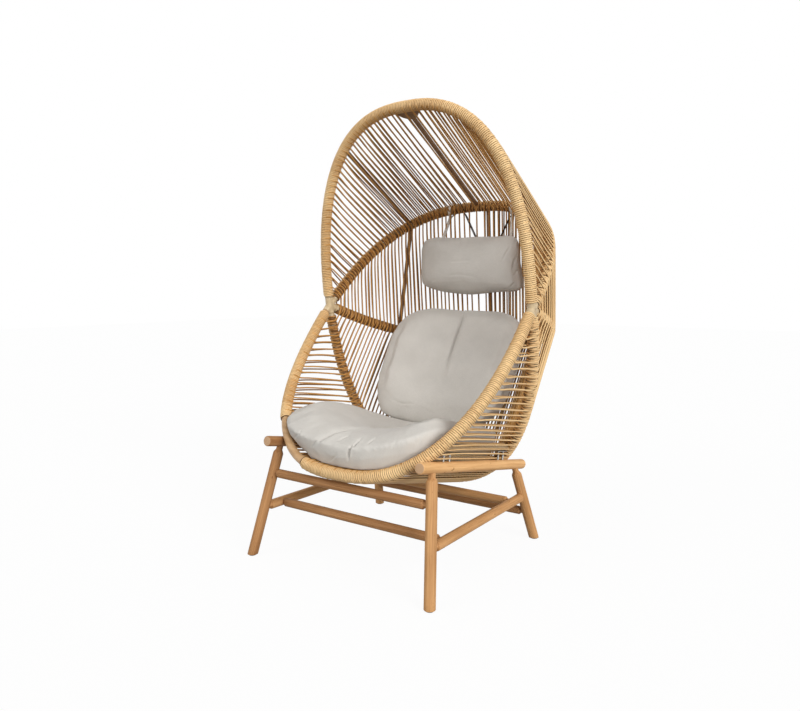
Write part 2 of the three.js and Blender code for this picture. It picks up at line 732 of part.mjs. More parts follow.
const weave = new THREE.Group();
for (const row of rows) {
  const curve = curves[row.from];
  const half = seatGap / 2;
  const marks = [
    wrapStart,
    curve.distanceTo(strutShares.right),
    curve.distanceTo(strutShares.left),
    curve.getLength() - wrapStart,
  ];
  ['right', 'middle', 'left'].forEach((side, i) => {
    addMesh(weave, `${row.name}_${side}`, weavePanel(row, marks[i] + half, marks[i + 1] - half), cord);
  });
}
for (const [name, [from, to]] of Object.entries(seatRimStretches)) {
  const sleeve = curves.seat_rim.tube(from, to, wrapRadius);
  addMesh(weave, name, cutBy(sleeve, [pipeCutters.seat_rim, ...strutCutters]), cord);
}

const stand = new THREE.Group();
addMesh(stand, 'top_rail_right', topRail(1), wood);
addMesh(stand, 'top_rail_left', topRail(-1), wood);
for (const leg of legs) {
  addMesh(stand, leg.name, legSolid(leg), wood);
  addMesh(stand, leg.name.replace('leg', 'glide'), glide(leg.bottom), plastic);
}
for (const [side, { solid }] of Object.entries(sideStretchers)) {
  const cuts = [crossRails.front_rail_lower.hole, crossRails.rear_rail_upper.hole];
  addMesh(stand, `side_stretcher_${side}`, cutBy(solid, cuts), wood);
}
for (const [name, { solid }] of Object.entries(crossRails)) addMesh(stand, name, solid, wood);
for (const { name, solid } of mounts) addMesh(stand, name, solid, steel);

const cushions = new THREE.Group();
const seatSolid = clearOfFrame(cushionForm(seatCushion)).subtract(joined(liftCutters));
const backSolid = clearOfFrame(cushionForm(backCushion)).subtract(cushionForm(seatCushion, seatGap));
const pillowSolid = clearOfFrame(cushionForm(headPillow)).subtract(cushionForm(backCushion, seatGap));
addMesh(cushions, 'seat_cushion', seatSolid, cloth);
addMesh(cushions, 'back_cushion', backSolid, cloth);
addMesh(cushions, 'head_pillow', pillowSolid, cloth);
for (const [side, place] of Object.entries(tiePlaces)) {
  addMesh(cushions, `pillow_tie_${side}`, pillowTie(place), cloth);
}

chair.add(frame, weave, stand, cushions);
const footprint = new THREE.Box3().setFromObject(chair, true).getCenter(new THREE.Vector3());
chair.position.y = -footprint.y;

export default chair;
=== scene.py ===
"""A pod chair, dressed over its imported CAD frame. Metres, +Z up; the mouth of the bowl faces -Y."""
import math
from collections import namedtuple

import bmesh
import bpy
import numpy as np
from mathutils import Matrix, Vector
from mathutils.bvhtree import BVHTree


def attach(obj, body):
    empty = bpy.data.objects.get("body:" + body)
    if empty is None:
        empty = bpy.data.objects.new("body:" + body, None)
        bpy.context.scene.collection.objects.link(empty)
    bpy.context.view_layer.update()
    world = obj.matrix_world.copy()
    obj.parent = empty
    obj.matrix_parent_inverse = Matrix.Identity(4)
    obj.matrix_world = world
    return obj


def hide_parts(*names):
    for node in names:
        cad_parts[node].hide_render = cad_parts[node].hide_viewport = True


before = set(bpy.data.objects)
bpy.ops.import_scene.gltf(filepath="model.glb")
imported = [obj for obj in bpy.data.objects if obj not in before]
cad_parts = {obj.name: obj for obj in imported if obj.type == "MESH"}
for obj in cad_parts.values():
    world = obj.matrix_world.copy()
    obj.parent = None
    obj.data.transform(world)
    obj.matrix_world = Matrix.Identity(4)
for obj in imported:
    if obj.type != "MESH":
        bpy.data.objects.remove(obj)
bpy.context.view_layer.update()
STAND = "bowl_and_stand"
rng = np.random.default_rng(11)

# Shared sizes, as in the CAD source.
MM = 0.001
SPAN = 419 * MM
JOINT = np.array([0.0, 15.758 * MM, 817 * MM])
BOWL_MIDDLE = np.array([0.0, -0.02, 0.80])
X_AXIS = np.array([1.0, 0.0, 0.0])
UP = np.array([0.0, 0.0, 1.0])
SIDES = {"right": 1, "left": -1}


# Vectors and paths.

def unit(v):
    return v / np.maximum(np.linalg.norm(v, axis=-1, keepdims=True), 1e-12)


def dot(a, b):
    return np.sum(a * b, axis=-1, keepdims=True)


def square_to(along, v):
    """The part of v that is square to a unit vector, at unit length."""
    return unit(v - dot(v, along) * along)


def run_along(points):
    """Distances from the first point, along a path or along each of many."""
    steps = np.linalg.norm(np.diff(points, axis=-2), axis=-1)
    return np.concatenate([np.zeros_like(steps[..., :1]), np.cumsum(steps, axis=-1)], -1)


def between(s, run, values):
    return np.stack([np.interp(s, run, column) for column in values.T], -1)


def circle(centre, radius, turn, u, v):
    return centre + radius * (np.cos(turn)[:, None] * u + np.sin(turn)[:, None] * v)


class Hoop:
    """Half a superellipse between the two side joints, walked by arc length or by turn."""

    FINE_STEPS, SAMPLES, ARC_STEPS = 16001, 2400, 6001

    def __init__(self, tilt, reach, fullness):
        lean = math.radians(tilt)
        self.up = np.array([0.0, math.sin(lean), math.cos(lean)])
        self.normal = np.cross(self.up, X_AXIS)
        self.reach = reach * MM
        self.power = 2 / fullness
        fine = self.by_turn(np.pi * (0.5 - 0.5 * np.cos(np.linspace(0, np.pi, self.FINE_STEPS))))
        run = run_along(fine)
        self.length = run[-1]
        self.s = np.linspace(0, self.length, self.SAMPLES)
        self.points = between(self.s, run, fine)
        self.tangents = unit(np.gradient(self.points, axis=0))

    def by_turn(self, turn):
        """Points at turns from 0 at the right joint to pi at the left one."""
        c, s = np.cos(turn), np.sin(turn).clip(0)
        across = np.sign(c) * SPAN * np.abs(c) ** self.power
        return (JOINT + np.multiply.outer(across, X_AXIS)
                + np.multiply.outer(self.reach * s ** self.power, self.up))

    def over(self, x):
        """The point that is x to the right of the middle."""
        return self.by_turn(math.acos(math.copysign((abs(x) / SPAN) ** (1 / self.power), x)))

    def arc(self, turn):
        """The length from the right joint to a turn."""
        return run_along(self.by_turn(np.linspace(0, turn, self.ARC_STEPS)))[-1]

    def at(self, s):
        """Centre, tangent, outward and plane normal at distances along the hoop."""
        s = np.asarray(s, float)
        centre = between(s, self.s, self.points)
        tangent = unit(between(s, self.s, self.tangents))
        normal = np.broadcast_to(self.normal, tangent.shape)
        return centre, tangent, np.cross(normal, tangent), normal


HOOD, SEAT = "hood_rim", "seat_rim"
UPPER, MIDDLE, LOWER = "upper_back_hoop", "mid_back_hoop", "lower_back_hoop"
HOOPS = {
    HOOD: Hoop(-8.1, 665, 2.48),
    UPPER: Hoop(46.5, 553, 2.47),
    MIDDLE: Hoop(108.6, 466, 2.39),
    LOWER: Hoop(168.4, 636, 2.3),
    SEAT: Hoop(222.5, 669, 2.53),
}


# Mesh building.

def carried_normals(tangents):
    """A normal at each point of each path, carried along it without a twist."""
    up = np.empty_like(tangents)
    start = np.broadcast_to(np.array([0.31, 0.17, 0.93]), tangents[:, 0].shape)
    up[:, 0] = unit(np.cross(tangents[:, 0], start))
    for i in range(1, up.shape[1]):
        up[:, i] = square_to(tangents[:, i], up[:, i - 1])
    return up


class Mesher:
    """Collects tubes as quads, with a tone, a crest and a grain coordinate at each point."""

    GRAIN_R = 0.0028
    LAYERS = (("tone", "FLOAT", "value"), ("crest", "FLOAT", "value"), ("grain", "FLOAT_VECTOR", "vector"))

    def __init__(self):
        self.verts, self.quads, self.count = [], [], 0
        self.layers = {name: [] for name, _, _ in self.LAYERS}

    def tubes(self, paths, half_width, half_height=None, sides=8, tone=0.5, facing=None,
              squareness=1.0, wound=False):
        """Paths (m, n, 3); the section's height lies along `facing`, or along a carried normal."""
        paths = np.asarray(paths, float)
        if paths.ndim == 2:
            paths = paths[None]
        if half_height is None:
            half_height = half_width
        m, n, _ = paths.shape
        tangents = unit(np.gradient(paths, axis=1))
        if facing is None:
            up = carried_normals(tangents)
        else:
            up = square_to(tangents, np.broadcast_to(facing, paths.shape))
        side = np.cross(tangents, up)
        w = np.broadcast_to(np.asarray(half_width, float), (m, n))[..., None, None]
        h = np.broadcast_to(np.asarray(half_height, float), (m, n))[..., None, None]
        turn = (np.arange(sides) + 0.5) * 2 * np.pi / sides
        flat = np.sign(np.cos(turn)) * np.abs(np.cos(turn)) ** squareness
        high = np.sign(np.sin(turn)) * np.abs(np.sin(turn)) ** squareness
        ring = (w * flat[None, None, :, None] * side[:, :, None]
                + h * high[None, None, :, None] * up[:, :, None])
        self.verts.append((paths[:, :, None] + ring).reshape(-1, 3))
        self.quads.append(self.walls(m, n, sides))
        shift = rng.uniform(0, 50, (m, 1, 1))
        grain = np.stack([
            np.broadcast_to(run_along(paths)[..., None] + shift, (m, n, sides)),
            np.broadcast_to(np.cos(turn) * self.GRAIN_R, (m, n, sides)) + shift,
            np.broadcast_to(np.sin(turn) * self.GRAIN_R, (m, n, sides)),
        ], -1)
        tone = np.asarray(tone, float)
        if tone.ndim < 2:
            tone = tone.reshape(-1, 1)
        crest = 0.5 + 0.5 * np.sin(turn) if wound else np.ones(sides)
        self.layers["tone"].append(np.repeat(np.broadcast_to(tone, (m, n)).reshape(-1), sides))
        self.layers["crest"].append(np.tile(crest, m * n))
        self.layers["grain"].append(grain.reshape(-1, 3))
        self.count += m * n * sides
        return self

    def walls(self, m, n, sides):
        """The quads of m tubes with n rings each, closed at both ends."""
        i, k = np.meshgrid(np.arange(n - 1), np.arange(sides), indexing="ij")
        a = i * sides + k
        b = i * sides + (k + 1) % sides
        wall = np.stack([a, b, b + sides, a + sides], -1).reshape(-1, 4)
        low = np.arange((sides - 2) // 2)
        cap = np.stack([low, low + 1, sides - 2 - low, sides - 1 - low], 1)
        one = np.concatenate([wall, cap[:, ::-1], cap + (n - 1) * sides])[:, ::-1]
        starts = self.count + np.arange(m) * n * sides
        return (one[None] + starts[:, None, None]).reshape(-1, 4)

    def make(self, name):
        verts, quads = np.concatenate(self.verts), np.concatenate(self.quads)
        mesh = bpy.data.meshes.new(name)
        mesh.vertices.add(len(verts))
        mesh.vertices.foreach_set("co", verts.astype(np.float32).ravel())
        mesh.loops.add(quads.size)
        mesh.loops.foreach_set("vertex_index", quads.astype(np.int32).ravel())
        mesh.polygons.add(len(quads))
        mesh.polygons.foreach_set("loop_start", np.arange(0, quads.size, 4, dtype=np.int32))
        mesh.polygons.foreach_set("use_smooth", np.ones(len(quads), bool))
        mesh.update(calc_edges=True)
        for layer, kind, field in self.LAYERS:
            values = np.concatenate(self.layers[layer]).astype(np.float32)
            mesh.attributes.new(layer, kind, "POINT").data.foreach_set(field, values.ravel())
        return bpy.data.objects.new(name, mesh)

    def build(self, name, material, body=STAND, slot=None, replaces=()):
        return place(self.make(name), material, body, replaces)


def show(obj):
    bpy.context.scene.collection.objects.link(obj)
    return obj


def place(obj, material, body=STAND, replaces=()):
    if obj.name not in bpy.context.scene.collection.objects:
        show(obj)
    obj.data.materials.clear()
    obj.data.materials.append(material)
    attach(obj, body)
    if replaces:
        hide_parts(*replaces)
    return obj


def bake(obj):
    """Applies a piece's modifiers to its mesh."""
    bpy.context.view_layer.update()
    graph = bpy.context.evaluated_depsgraph_get()
    mesh = bpy.data.meshes.new_from_object(obj.evaluated_get(graph), depsgraph=graph)
    old = obj.data
    obj.modifiers.clear()
    obj.data = mesh
    mesh.name = obj.name
    if old.users == 0:
        bpy.data.meshes.remove(old)
    return obj


# Materials.

def srgb(r, g, b):
    """A colour as a screen shows it, from 0 to 255, in the renderer's own linear values."""
    def linear(v):
        v /= 255
        return v / 12.92 if v <= 0.04045 else ((v + 0.055) / 1.055) ** 2.4
    return linear(r), linear(g), linear(b), 1.0


class Nodes:
    """A node tree. Each method adds a node, feeds it values or other outputs, and gives its output."""

    INPUTS = {"colour": "Base Color", "roughness": "Roughness", "specular": "Specular IOR Level",
              "metallic": "Metallic", "sheen": "Sheen Weight"}

    def __init__(self, owner):
        owner.use_nodes = True
        self.owner = owner
        self.tree = owner.node_tree
        self.shader = self.tree.nodes.get("Principled BSDF")

    def feed(self, socket, value):
        if isinstance(value, bpy.types.NodeSocket):
            self.tree.links.new(value, socket)
        elif value is not None:
            socket.default_value = value

    def add(self, kind, feeds=None, **settings):
        made = self.tree.nodes.new(kind)
        for key, value in settings.items():
            setattr(made, key, value)
        for key, value in (feeds or {}).items():
            self.feed(made.inputs[key], value)
        return made

    def coordinate(self, kind="Object"):
        return self.add("ShaderNodeTexCoord").outputs[kind]

    def attribute(self, name, output="Fac"):
        return self.add("ShaderNodeAttribute", attribute_name=name).outputs[output]

    def maths(self, operation, a, b=None, clamp=False):
        return self.add("ShaderNodeMath", {0: a, 1: b}, operation=operation, use_clamp=clamp).outputs[0]

    def vector(self, operation, a, b=None, output="Vector"):
        return self.add("ShaderNodeVectorMath", {0: a, 1: b}, operation=operation).outputs[output]

    def weighed(self, *pairs):
        """The sum of outputs, each times its weight."""
        total = None
        for value, weight in reversed(pairs):
            part = self.maths("MULTIPLY", value, weight)
            total = part if total is None else self.maths("ADD", part, total)
        return total

    def past(self, a, b, gain):
        """How far a is past b, from 0 to 1."""
        return self.maths("MULTIPLY", self.maths("SUBTRACT", a, b), gain, clamp=True)

    def mix(self, factor, a, b, blend="MIX"):
        made = self.add("ShaderNodeMix", data_type="RGBA", blend_type=blend)
        for socket, value in ((0, factor), (6, a), (7, b)):
            self.feed(made.inputs[socket], value)
        return made.outputs[2]

    def noise(self, vector, scale, detail=3.0, roughness=0.55):
        """Noise of one scale, or stretched by a scale for each axis."""
        if isinstance(scale, tuple):
            vector, scale = self.vector("MULTIPLY", vector, scale), 1.0
        feeds = {"Vector": vector, "Scale": scale, "Detail": detail, "Roughness": roughness}
        return self.add("ShaderNodeTexNoise", feeds).outputs["Fac"]

    def ramp(self, factor, *stops):
        made = self.add("ShaderNodeValToRGB", {0: factor})
        for element, (at, colour) in zip(made.color_ramp.elements, stops):
            element.position = at
            element.color = colour
        return made.outputs[0]

    def bump(self, height, strength, distance):
        feeds = {"Height": height, "Strength": strength, "Distance": distance}
        self.feed(self.shader.inputs["Normal"], self.add("ShaderNodeBump", feeds).outputs[0])

    def surface(self, **values):
        """Feeds the shader and gives the finished material."""
        for word, value in values.items():
            self.feed(self.shader.inputs[self.INPUTS[word]], value)
        return self.owner


def new_look(name):
    return Nodes(bpy.data.materials.new(name))


STRAW, TAN = srgb(246, 213, 160), srgb(209, 165, 111)
# The colour of the painted shade in the grooves between the turns of a winding.
GROOVE_SHADE = (0.24, 0.15, 0.085, 1)
VEIN_BROWN, KNOT_BROWN = (0.74, 0.63, 0.52, 1), (0.42, 0.29, 0.19, 1)
SAWN_DARK, SAWN_LIGHT = srgb(178, 142, 108), srgb(206, 170, 134)


def cord_material(name, inside_shade, inside_shade_share, light=STRAW, dark=TAN, specular=0.22):
    """Cane cord: tone by strand, lengthwise grain, painted shade in the grooves between wound turns, and
    painted shade on the side that faces the bowl's inside.
    """
    n = new_look(name)
    grain = n.attribute("grain", "Vector")
    streaks = n.noise(grain, (40, 1500, 1500), 2.0)
    cloud = n.noise(grain, (12, 200, 200), 2.0)
    shade = n.weighed((n.attribute("tone"), 0.62), (streaks, 0.24), (cloud, 0.14))
    base = n.ramp(shade, (0.12, dark), (0.85, light))
    # Painted shade in the grooves: darker where a wound turn faces down into the pipe beside the next turn.
    base = n.mix(n.past(0.88, n.attribute("crest"), 2.4), base, GROOVE_SHADE, "MULTIPLY")
    # Painted shade: the side of a cord that faces the middle of the bowl is darkened towards the shade
    # colour.
    geometry = n.add("ShaderNodeNewGeometry").outputs
    away = n.vector("NORMALIZE", n.vector("SUBTRACT", geometry["Position"], tuple(BOWL_MIDDLE)))
    outward = n.vector("DOT_PRODUCT", away, geometry["Normal"], output="Value")
    inside = n.maths("MULTIPLY", n.past(0.2, outward, 2.0), inside_shade_share)
    n.bump(n.maths("ADD", streaks, cloud), 0.35, 0.0004)
    return n.surface(colour=n.mix(inside, base, inside_shade, "MULTIPLY"), roughness=0.48, specular=specular)


def pipe_material(name, light, dark, roughness):
    """Lacquered pipe, a little uneven in colour and surface."""
    n = new_look(name)
    cloud = n.noise(n.coordinate(), (18, 60, 60))
    fine = n.noise(n.coordinate(), 900.0, 2.0)
    n.bump(fine, 0.08, 0.0002)
    colour = n.ramp(n.weighed((cloud, 0.7), (fine, 0.3)), (0.36, dark), (0.64, light))
    return n.surface(colour=colour, roughness=roughness)


def wood_material(name, light, dark, shift):
    """Turned teak: long streaks, pores, veins, small knots, and paler rings on the sawn ends."""
    n = new_look(name)
    grain = n.vector("ADD", n.coordinate(), (shift, shift * 0.7, shift * 1.3))
    streaks = n.noise(grain, (120, 120, 2.4), 4.0, 0.65)
    pores = n.noise(grain, (1100, 1100, 20), 2.0, 0.6)
    cloud = n.noise(grain, (16, 16, 5))
    side = n.ramp(n.weighed((streaks, 0.5), (cloud, 0.34), (pores, 0.16)), (0.38, dark), (0.60, light))
    veins = n.noise(grain, (300, 300, 6), 3.0, 0.6)
    side = n.mix(n.past(veins, 0.56, 6.0), side, VEIN_BROWN, "MULTIPLY")
    spots = n.noise(grain, (150, 150, 55), 1.0)
    side = n.mix(n.past(spots, 0.71, 9.0), side, KNOT_BROWN, "MULTIPLY")
    ring_feeds = {"Vector": n.coordinate(), "Scale": 120.0, "Distortion": 3.0, "Detail": 2.0}
    rings = n.add("ShaderNodeTexWave", ring_feeds, wave_type="RINGS", rings_direction="Z")
    end = n.ramp(rings.outputs["Fac"], (0.0, SAWN_DARK), (1.0, SAWN_LIGHT))
    normal = n.add("ShaderNodeSeparateXYZ", {0: n.coordinate("Normal")})
    sawn = n.past(n.maths("ABSOLUTE", normal.outputs["Z"]), 0.85, 9.0)
    n.bump(n.maths("ADD", pores, n.maths("MULTIPLY", streaks, 0.5)), 0.25, 0.0004)
    return n.surface(colour=n.mix(sawn, side, end), roughness=0.58, specular=0.16)


def cloth_material(name, light, dark):
    """Plain linen weave: slubs along and across, over a soft uneven dye."""
    n = new_look(name)
    along = n.noise(n.coordinate(), (70, 1300, 1300), 2.0)
    across = n.noise(n.coordinate(), (1300, 500, 90), 2.0)
    fibre = n.noise(n.coordinate(), 1800.0, 2.0)
    cloud = n.noise(n.coordinate(), 11.0)
    threads = n.weighed((along, 0.55), (across, 0.3))
    shade = n.weighed((threads, 0.6), (fibre, 0.19), (cloud, 0.30))
    n.bump(n.maths("ADD", threads, n.maths("MULTIPLY", fibre, 0.5)), 0.35, 0.0005)
    colour = n.ramp(shade, (0.36, dark), (0.64, light))
    return n.surface(colour=colour, roughness=0.92, sheen=0.15, specular=0.15)


def mottled_material(name, scale, detail, dark, light, **values):
    """A plain surface, a little uneven in colour."""
    n = new_look(name)
    spots = n.noise(n.coordinate(), scale, detail)
    return n.surface(colour=n.ramp(spots, (0.3, dark), (0.7, light)), **values)


# In each cord material, the colour after the name is the painted shade on the side that faces the bowl's
# middle, and the number after it is how much of that shade is laid on: darkest on the outer strands and the
# back hoops' windings, lightest on the rim.
CANE = cord_material("cane_cord", (0.30, 0.20, 0.10, 1), 0.97, specular=0.12)
CANE_INNER = cord_material("cane_cord_inner", (0.64, 0.47, 0.265, 1), 1.0, specular=0.12)
CANE_HOOP = cord_material("cane_cord_hoop", (0.25, 0.172, 0.104, 1), 1.0)
CANE_LASH = cord_material("cane_cord_lashing", (0.66, 0.49, 0.33, 1), 1.0)
CANE_RIM = cord_material("cane_cord_rim", (0.84, 0.72, 0.58, 1), 0.5)
RING_CORD = cord_material("rim_ring_cord", (1, 1, 1, 1), 0.0, srgb(134, 98, 62), srgb(98, 68, 42))
PIPE_PAINT = pipe_material("joint_lacquer", srgb(212, 190, 152), srgb(190, 166, 130), 0.34)
RIM_PAINT = pipe_material("rim_lacquer", srgb(208, 170, 124), srgb(180, 140, 96), 0.32)
# A browner lacquer than the joints' for the struts and the gusset inside the bowl: partly their own colour
# and partly painted shade.
STRUT_DARK_AND_SHADED_PAINT = pipe_material("strut_lacquer_dark_and_shaded", srgb(152, 118, 84), srgb(126, 96, 68), 0.45)
# Three teak tints, from pale to red, which also serve as painted light and shade on the members.
WOODS = {
    "pale": wood_material("turned_wood_pale_and_lit", srgb(240, 192, 134), srgb(204, 152, 98), 0.0),
    "tan": wood_material("turned_wood_tan", srgb(214, 164, 111), srgb(172, 124, 78), 3.7),
    "red": wood_material("turned_wood_red_and_shaded", srgb(188, 139, 92), srgb(146, 102, 63), 7.9),
}
CLOTH = cloth_material("cushion_cloth", srgb(214, 210, 203), srgb(194, 190, 183))
TIE_CLOTH = cloth_material("tie_cloth", srgb(232, 226, 218), srgb(204, 197, 187))
STEEL = mottled_material("stud_steel", 300.0, 3.0, (0.30, 0.29, 0.27, 1), (0.44, 0.42, 0.40, 1),
                         metallic=1.0, roughness=0.45)
PLASTIC = mottled_material("glide_plastic", 260.0, 3.0, (0.035, 0.033, 0.03, 1), (0.055, 0.05, 0.045, 1),
                           roughness=0.55)
DARK_CORD = mottled_material("dark_tie_cord", 700.0, 2.0, srgb(46, 34, 26), srgb(74, 58, 44),
                             roughness=0.85, specular=0.1)

# Pipes: the five hoops, the joints where they meet, the struts and the runners.
PIPE_R, PIPE_SIDES = 14 * MM, 20
PIPE_START, JOINT_ARM = 0.0300, 0.0295
STRUT_R, STRUT_INSET = 0.0078, 0.0143
RUNNER_X = 0.300

for name, hoop in HOOPS.items():
    centre, _, _, normal = hoop.at(np.linspace(PIPE_START, hoop.length - PIPE_START, 160))
    paint = RIM_PAINT if name == SEAT else PIPE_PAINT
    pipe = Mesher().tubes(centre, PIPE_R, sides=PIPE_SIDES, facing=normal)
    pipe.build(f"{name}_pipe", paint, slot="pipe", replaces=[name])

for side, sign in SIDES.items():
    star = Mesher()
    for hoop in HOOPS.values():
        arm = np.linspace(0, JOINT_ARM, 8)
        centre, _, _, normal = hoop.at(arm if sign > 0 else hoop.length - arm)
        star.tubes(centre, PIPE_R, sides=PIPE_SIDES, facing=normal)
    star.build(f"side_joint_{side}_star", PIPE_PAINT, slot="pipe", replaces=[f"side_joint_{side}"])


def strut(node, a, b, steps, material):
    """A thin rod between the centre lines a and b of two hoops, from surface to surface."""
    inset = unit(b - a) * STRUT_INSET
    rod = Mesher().tubes(np.linspace(a + inset, b - inset, steps), STRUT_R, sides=16)
    rod.build(f"{node}_pipe", material, slot="pipe", replaces=[node])


STRUT_ROWS = {"hood_strut": (HOOD, UPPER), "upper_back_strut": (UPPER, MIDDLE),
              "lower_back_strut": (MIDDLE, LOWER)}
STRUT_SHARES = {"right": 54 / 180, "middle": 0.5, "left": 1 - 54 / 180}
# The upper back struts' ends, as shares of the half turn, off the even places that the solids have.
STRUT_SHIFTS = {"right": (0, -0.06), "middle": (-0.019, -0.021), "left": (0, 0.06)}
for row, (upper, lower) in STRUT_ROWS.items():
    for side, share in STRUT_SHARES.items():
        top_shift, low_shift = STRUT_SHIFTS[side] if row == "upper_back_strut" else (0, 0)
        top = HOOPS[upper].by_turn((share + top_shift) * math.pi)
        low = HOOPS[lower].by_turn((share + low_shift) * math.pi)
        strut(f"{row}_{side}", top, low, 12, STRUT_DARK_AND_SHADED_PAINT)
for side, sign in SIDES.items():
    back, front = HOOPS[LOWER].over(sign * RUNNER_X), HOOPS[SEAT].over(sign * RUNNER_X)
    strut(f"seat_runner_{side}", back, front, 24, PIPE_PAINT)
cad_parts["hood_gusset"].data.materials.clear()
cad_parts["hood_gusset"].data.materials.append(STRUT_DARK_AND_SHADED_PAINT)

# Cord wound round the hoops.
RIM_WINDING = {"pitch": 0.0063, "radius": 0.0166, "half_width": 0.0030, "half_height": 0.0027, "steps": 20}
BACK_WINDING = {"pitch": 0.0072, "radius": 0.0161, "half_width": 0.0030, "half_height": 0.0026, "steps": 16,
                "wobble": 0.0010}
BACK_LASHING = {"pitch": 0.0128, "radius": 0.0181, "half_width": 0.0024, "half_height": 0.0022, "steps": 16,
                "hand": -1, "phase": 1.0, "wobble": 0.0016}
WOUND_FROM, WOUND_TO = 0.022, 0.038
BARE = [HOOPS[SEAT].arc(degrees / 180 * np.pi) for degrees in (105, 135)]
RING_R, RING_CORD_R = 0.0158, 0.0016


def tone_bands(s, seed):
    """Sections of cord from different hanks: a tone that changes by steps along a hoop."""
    shortest, longest, longest_hoop = 0.025, 0.16, 2.5
    local = np.random.default_rng(seed)
    edges, tones = [0.0], [local.uniform(0.45, 0.8)]
    while edges[-1] < longest_hoop:
        edges.append(edges[-1] + local.uniform(shortest, longest))
        tones.append(np.clip(local.normal(0.62, 0.16), 0.2, 0.95))
    return np.array(tones)[np.clip(np.searchsorted(edges, s, side="right") - 1, 0, len(tones) - 1)]


def coil(hoop, start, end, seed, pitch, radius, half_width, half_height, steps,
         hand=1, phase=0.0, wobble=0.0):
    """A cord round a hoop, a little uneven in place, height and tone, that sinks in at both ends."""
    end_turns, end_sink = 0.35, 0.0022
    turns = (end - start) / pitch
    k = np.arange(int(round(turns * steps)) + 1) / steps
    local = np.random.default_rng(seed)

    def wander(size):
        knots = local.normal(0, size, int(turns) + 3)
        return np.interp(k, np.arange(len(knots)), knots)

    s = start + k * pitch
    if wobble:
        s = s + wander(wobble)
    phi = phase + hand * 2 * np.pi * (start / pitch + k)
    centre, _, outward, normal = hoop.at(s)
    spoke = np.cos(phi)[:, None] * outward + np.sin(phi)[:, None] * normal
    free = np.clip(np.minimum(k, turns - k) / end_turns, 0, 1)
    height = radius + (free - 1) * end_sink + wander(0.00012)
    tone = np.clip(tone_bands(s, seed + 5) + wander(0.09), 0, 1)
    path = centre + height[:, None] * spoke
    return Mesher().tubes(path, half_width, half_height, tone=tone[None], facing=spoke[None], wound=True)


rim = coil(HOOPS[HOOD], WOUND_FROM, HOOPS[HOOD].length - WOUND_TO, 21, **RIM_WINDING)
rim.build("hood_rim_winding", CANE_RIM, slot="cord")
seat_ends = {"right": (WOUND_FROM, BARE[0], 31), "left": (BARE[1], HOOPS[SEAT].length - WOUND_TO, 47)}
for side, (start, end, seed) in seat_ends.items():
    rim = coil(HOOPS[SEAT], start + 0.002, end - 0.002, seed, **RIM_WINDING)
    rim.build(f"seat_rim_winding_{side}", CANE_RIM, slot="cord", replaces=[f"seat_rim_wrap_{side}"])
for name, seed in ((UPPER, 61), (MIDDLE, 71), (LOWER, 81)):
    hoop = HOOPS[name]
    end = hoop.length - WOUND_TO
    coil(hoop, WOUND_FROM, end, seed, **BACK_WINDING).build(f"{name}_winding", CANE_HOOP, slot="cord")
    lashing = coil(hoop, WOUND_FROM + 0.004, end, seed + 3, **BACK_LASHING)
    lashing.build(f"{name}_lashing", CANE_LASH, slot="cord")

# The winding of the seat rim ends in a dark ring of cord on each side of the bare stretch.
for side, ring_at in zip(SIDES, BARE):
    centre, _, outward, normal = HOOPS[SEAT].at(np.array([ring_at]))
    path = circle(centre, RING_R, np.linspace(0, 2 * np.pi, 41), outward, normal)
    ring = Mesher().tubes(path, RING_CORD_R, tone=0.0, facing=path - centre)
    ring.build(f"seat_rim_ring_{side}", RING_CORD, slot="cord")

# Strands from hoop to hoop, in two layers: sigma is 1 for the outer one and -1 for the inner one.
PAIRS = 75
CORD_R = 0.0027
STRAND_R = 0.0172
STRAND_START = 0.030
ROWS = {"hood_weave": (HOOD, UPPER), "upper_back_weave": (UPPER, MIDDLE),
        "lower_back_weave": (MIDDLE, LOWER), "seat_weave": (LOWER, SEAT)}
TURN = (np.arange(PAIRS) + 0.5) / PAIRS * 180
# At each hoop of a row, the outer strands' lead over the inner ones: a bend in mm round its left half.
LEADS = {
    ("hood_weave", HOOD): (0, 0.69, -0.0019),
    ("hood_weave", UPPER): (9, 0.62, -0.0025),
    ("upper_back_weave", UPPER): (6.8, 0.80, 0.0058),
    ("upper_back_weave", MIDDLE): (6.5, 0.69, 0.0026),
    ("lower_back_weave", MIDDLE): (4.9, 0.63, 0.0009),
    ("lower_back_weave", LOWER): (6.4, 0.74, 0.0029),
    ("seat_weave", LOWER): (-22.3, 0.72, -0.004),
    ("seat_weave", SEAT): (-13.2, 0.75, -0.0042),
}
# How a strand holds a hoop: its turn round it in degrees, its advance by it, and how soon it is straight.
RIM_GRIP = {"turn": 70, "advance": 0.001, "ease": 0.019}
OUTER_GRIP = {"turn": 60, "advance": 0.0035, "ease": 0.014}
INNER_GRIP = {"turn": 215, "advance": 0.0035, "ease": 0.014}
BARE_MARGIN, BARE_R, BARE_TURN = 0.006, 0.007, 4


def bend(a, b, c, degrees):
    """A lead in mm that follows a parabola over the left half of a hoop, and stays as it is before it."""
    u = np.clip(degrees, 90, 180) - 135
    return -(a + b * u + c * u * u)


def lead(row, name):
    """How far the outer strands of a row lead the inner ones at a hoop."""
    if row != "seat_weave":
        latest = 135 if (row, name) == ("hood_weave", UPPER) else 180
        return bend(*LEADS[row, name], np.minimum(TURN, latest)) * MM
    left = bend(*LEADS[row, name], np.clip(TURN, 135, 180))
    right = -1.33 * bend(*LEADS[row, LOWER], np.clip(180 - TURN, 135, 180))
    across = np.clip((TURN - 45) / 90, 0, 1)
    return (right * (1 - across) + left * across) * MM


def side_normal(hoop, s, d):
    """The pipe's normal on the outer side of the bowl, square to the strand's direction d."""
    centre, tangent, _, _ = hoop.at(s)
    side = unit(np.cross(d, tangent))
    return side * np.sign(dot(side, centre - BOWL_MIDDLE))


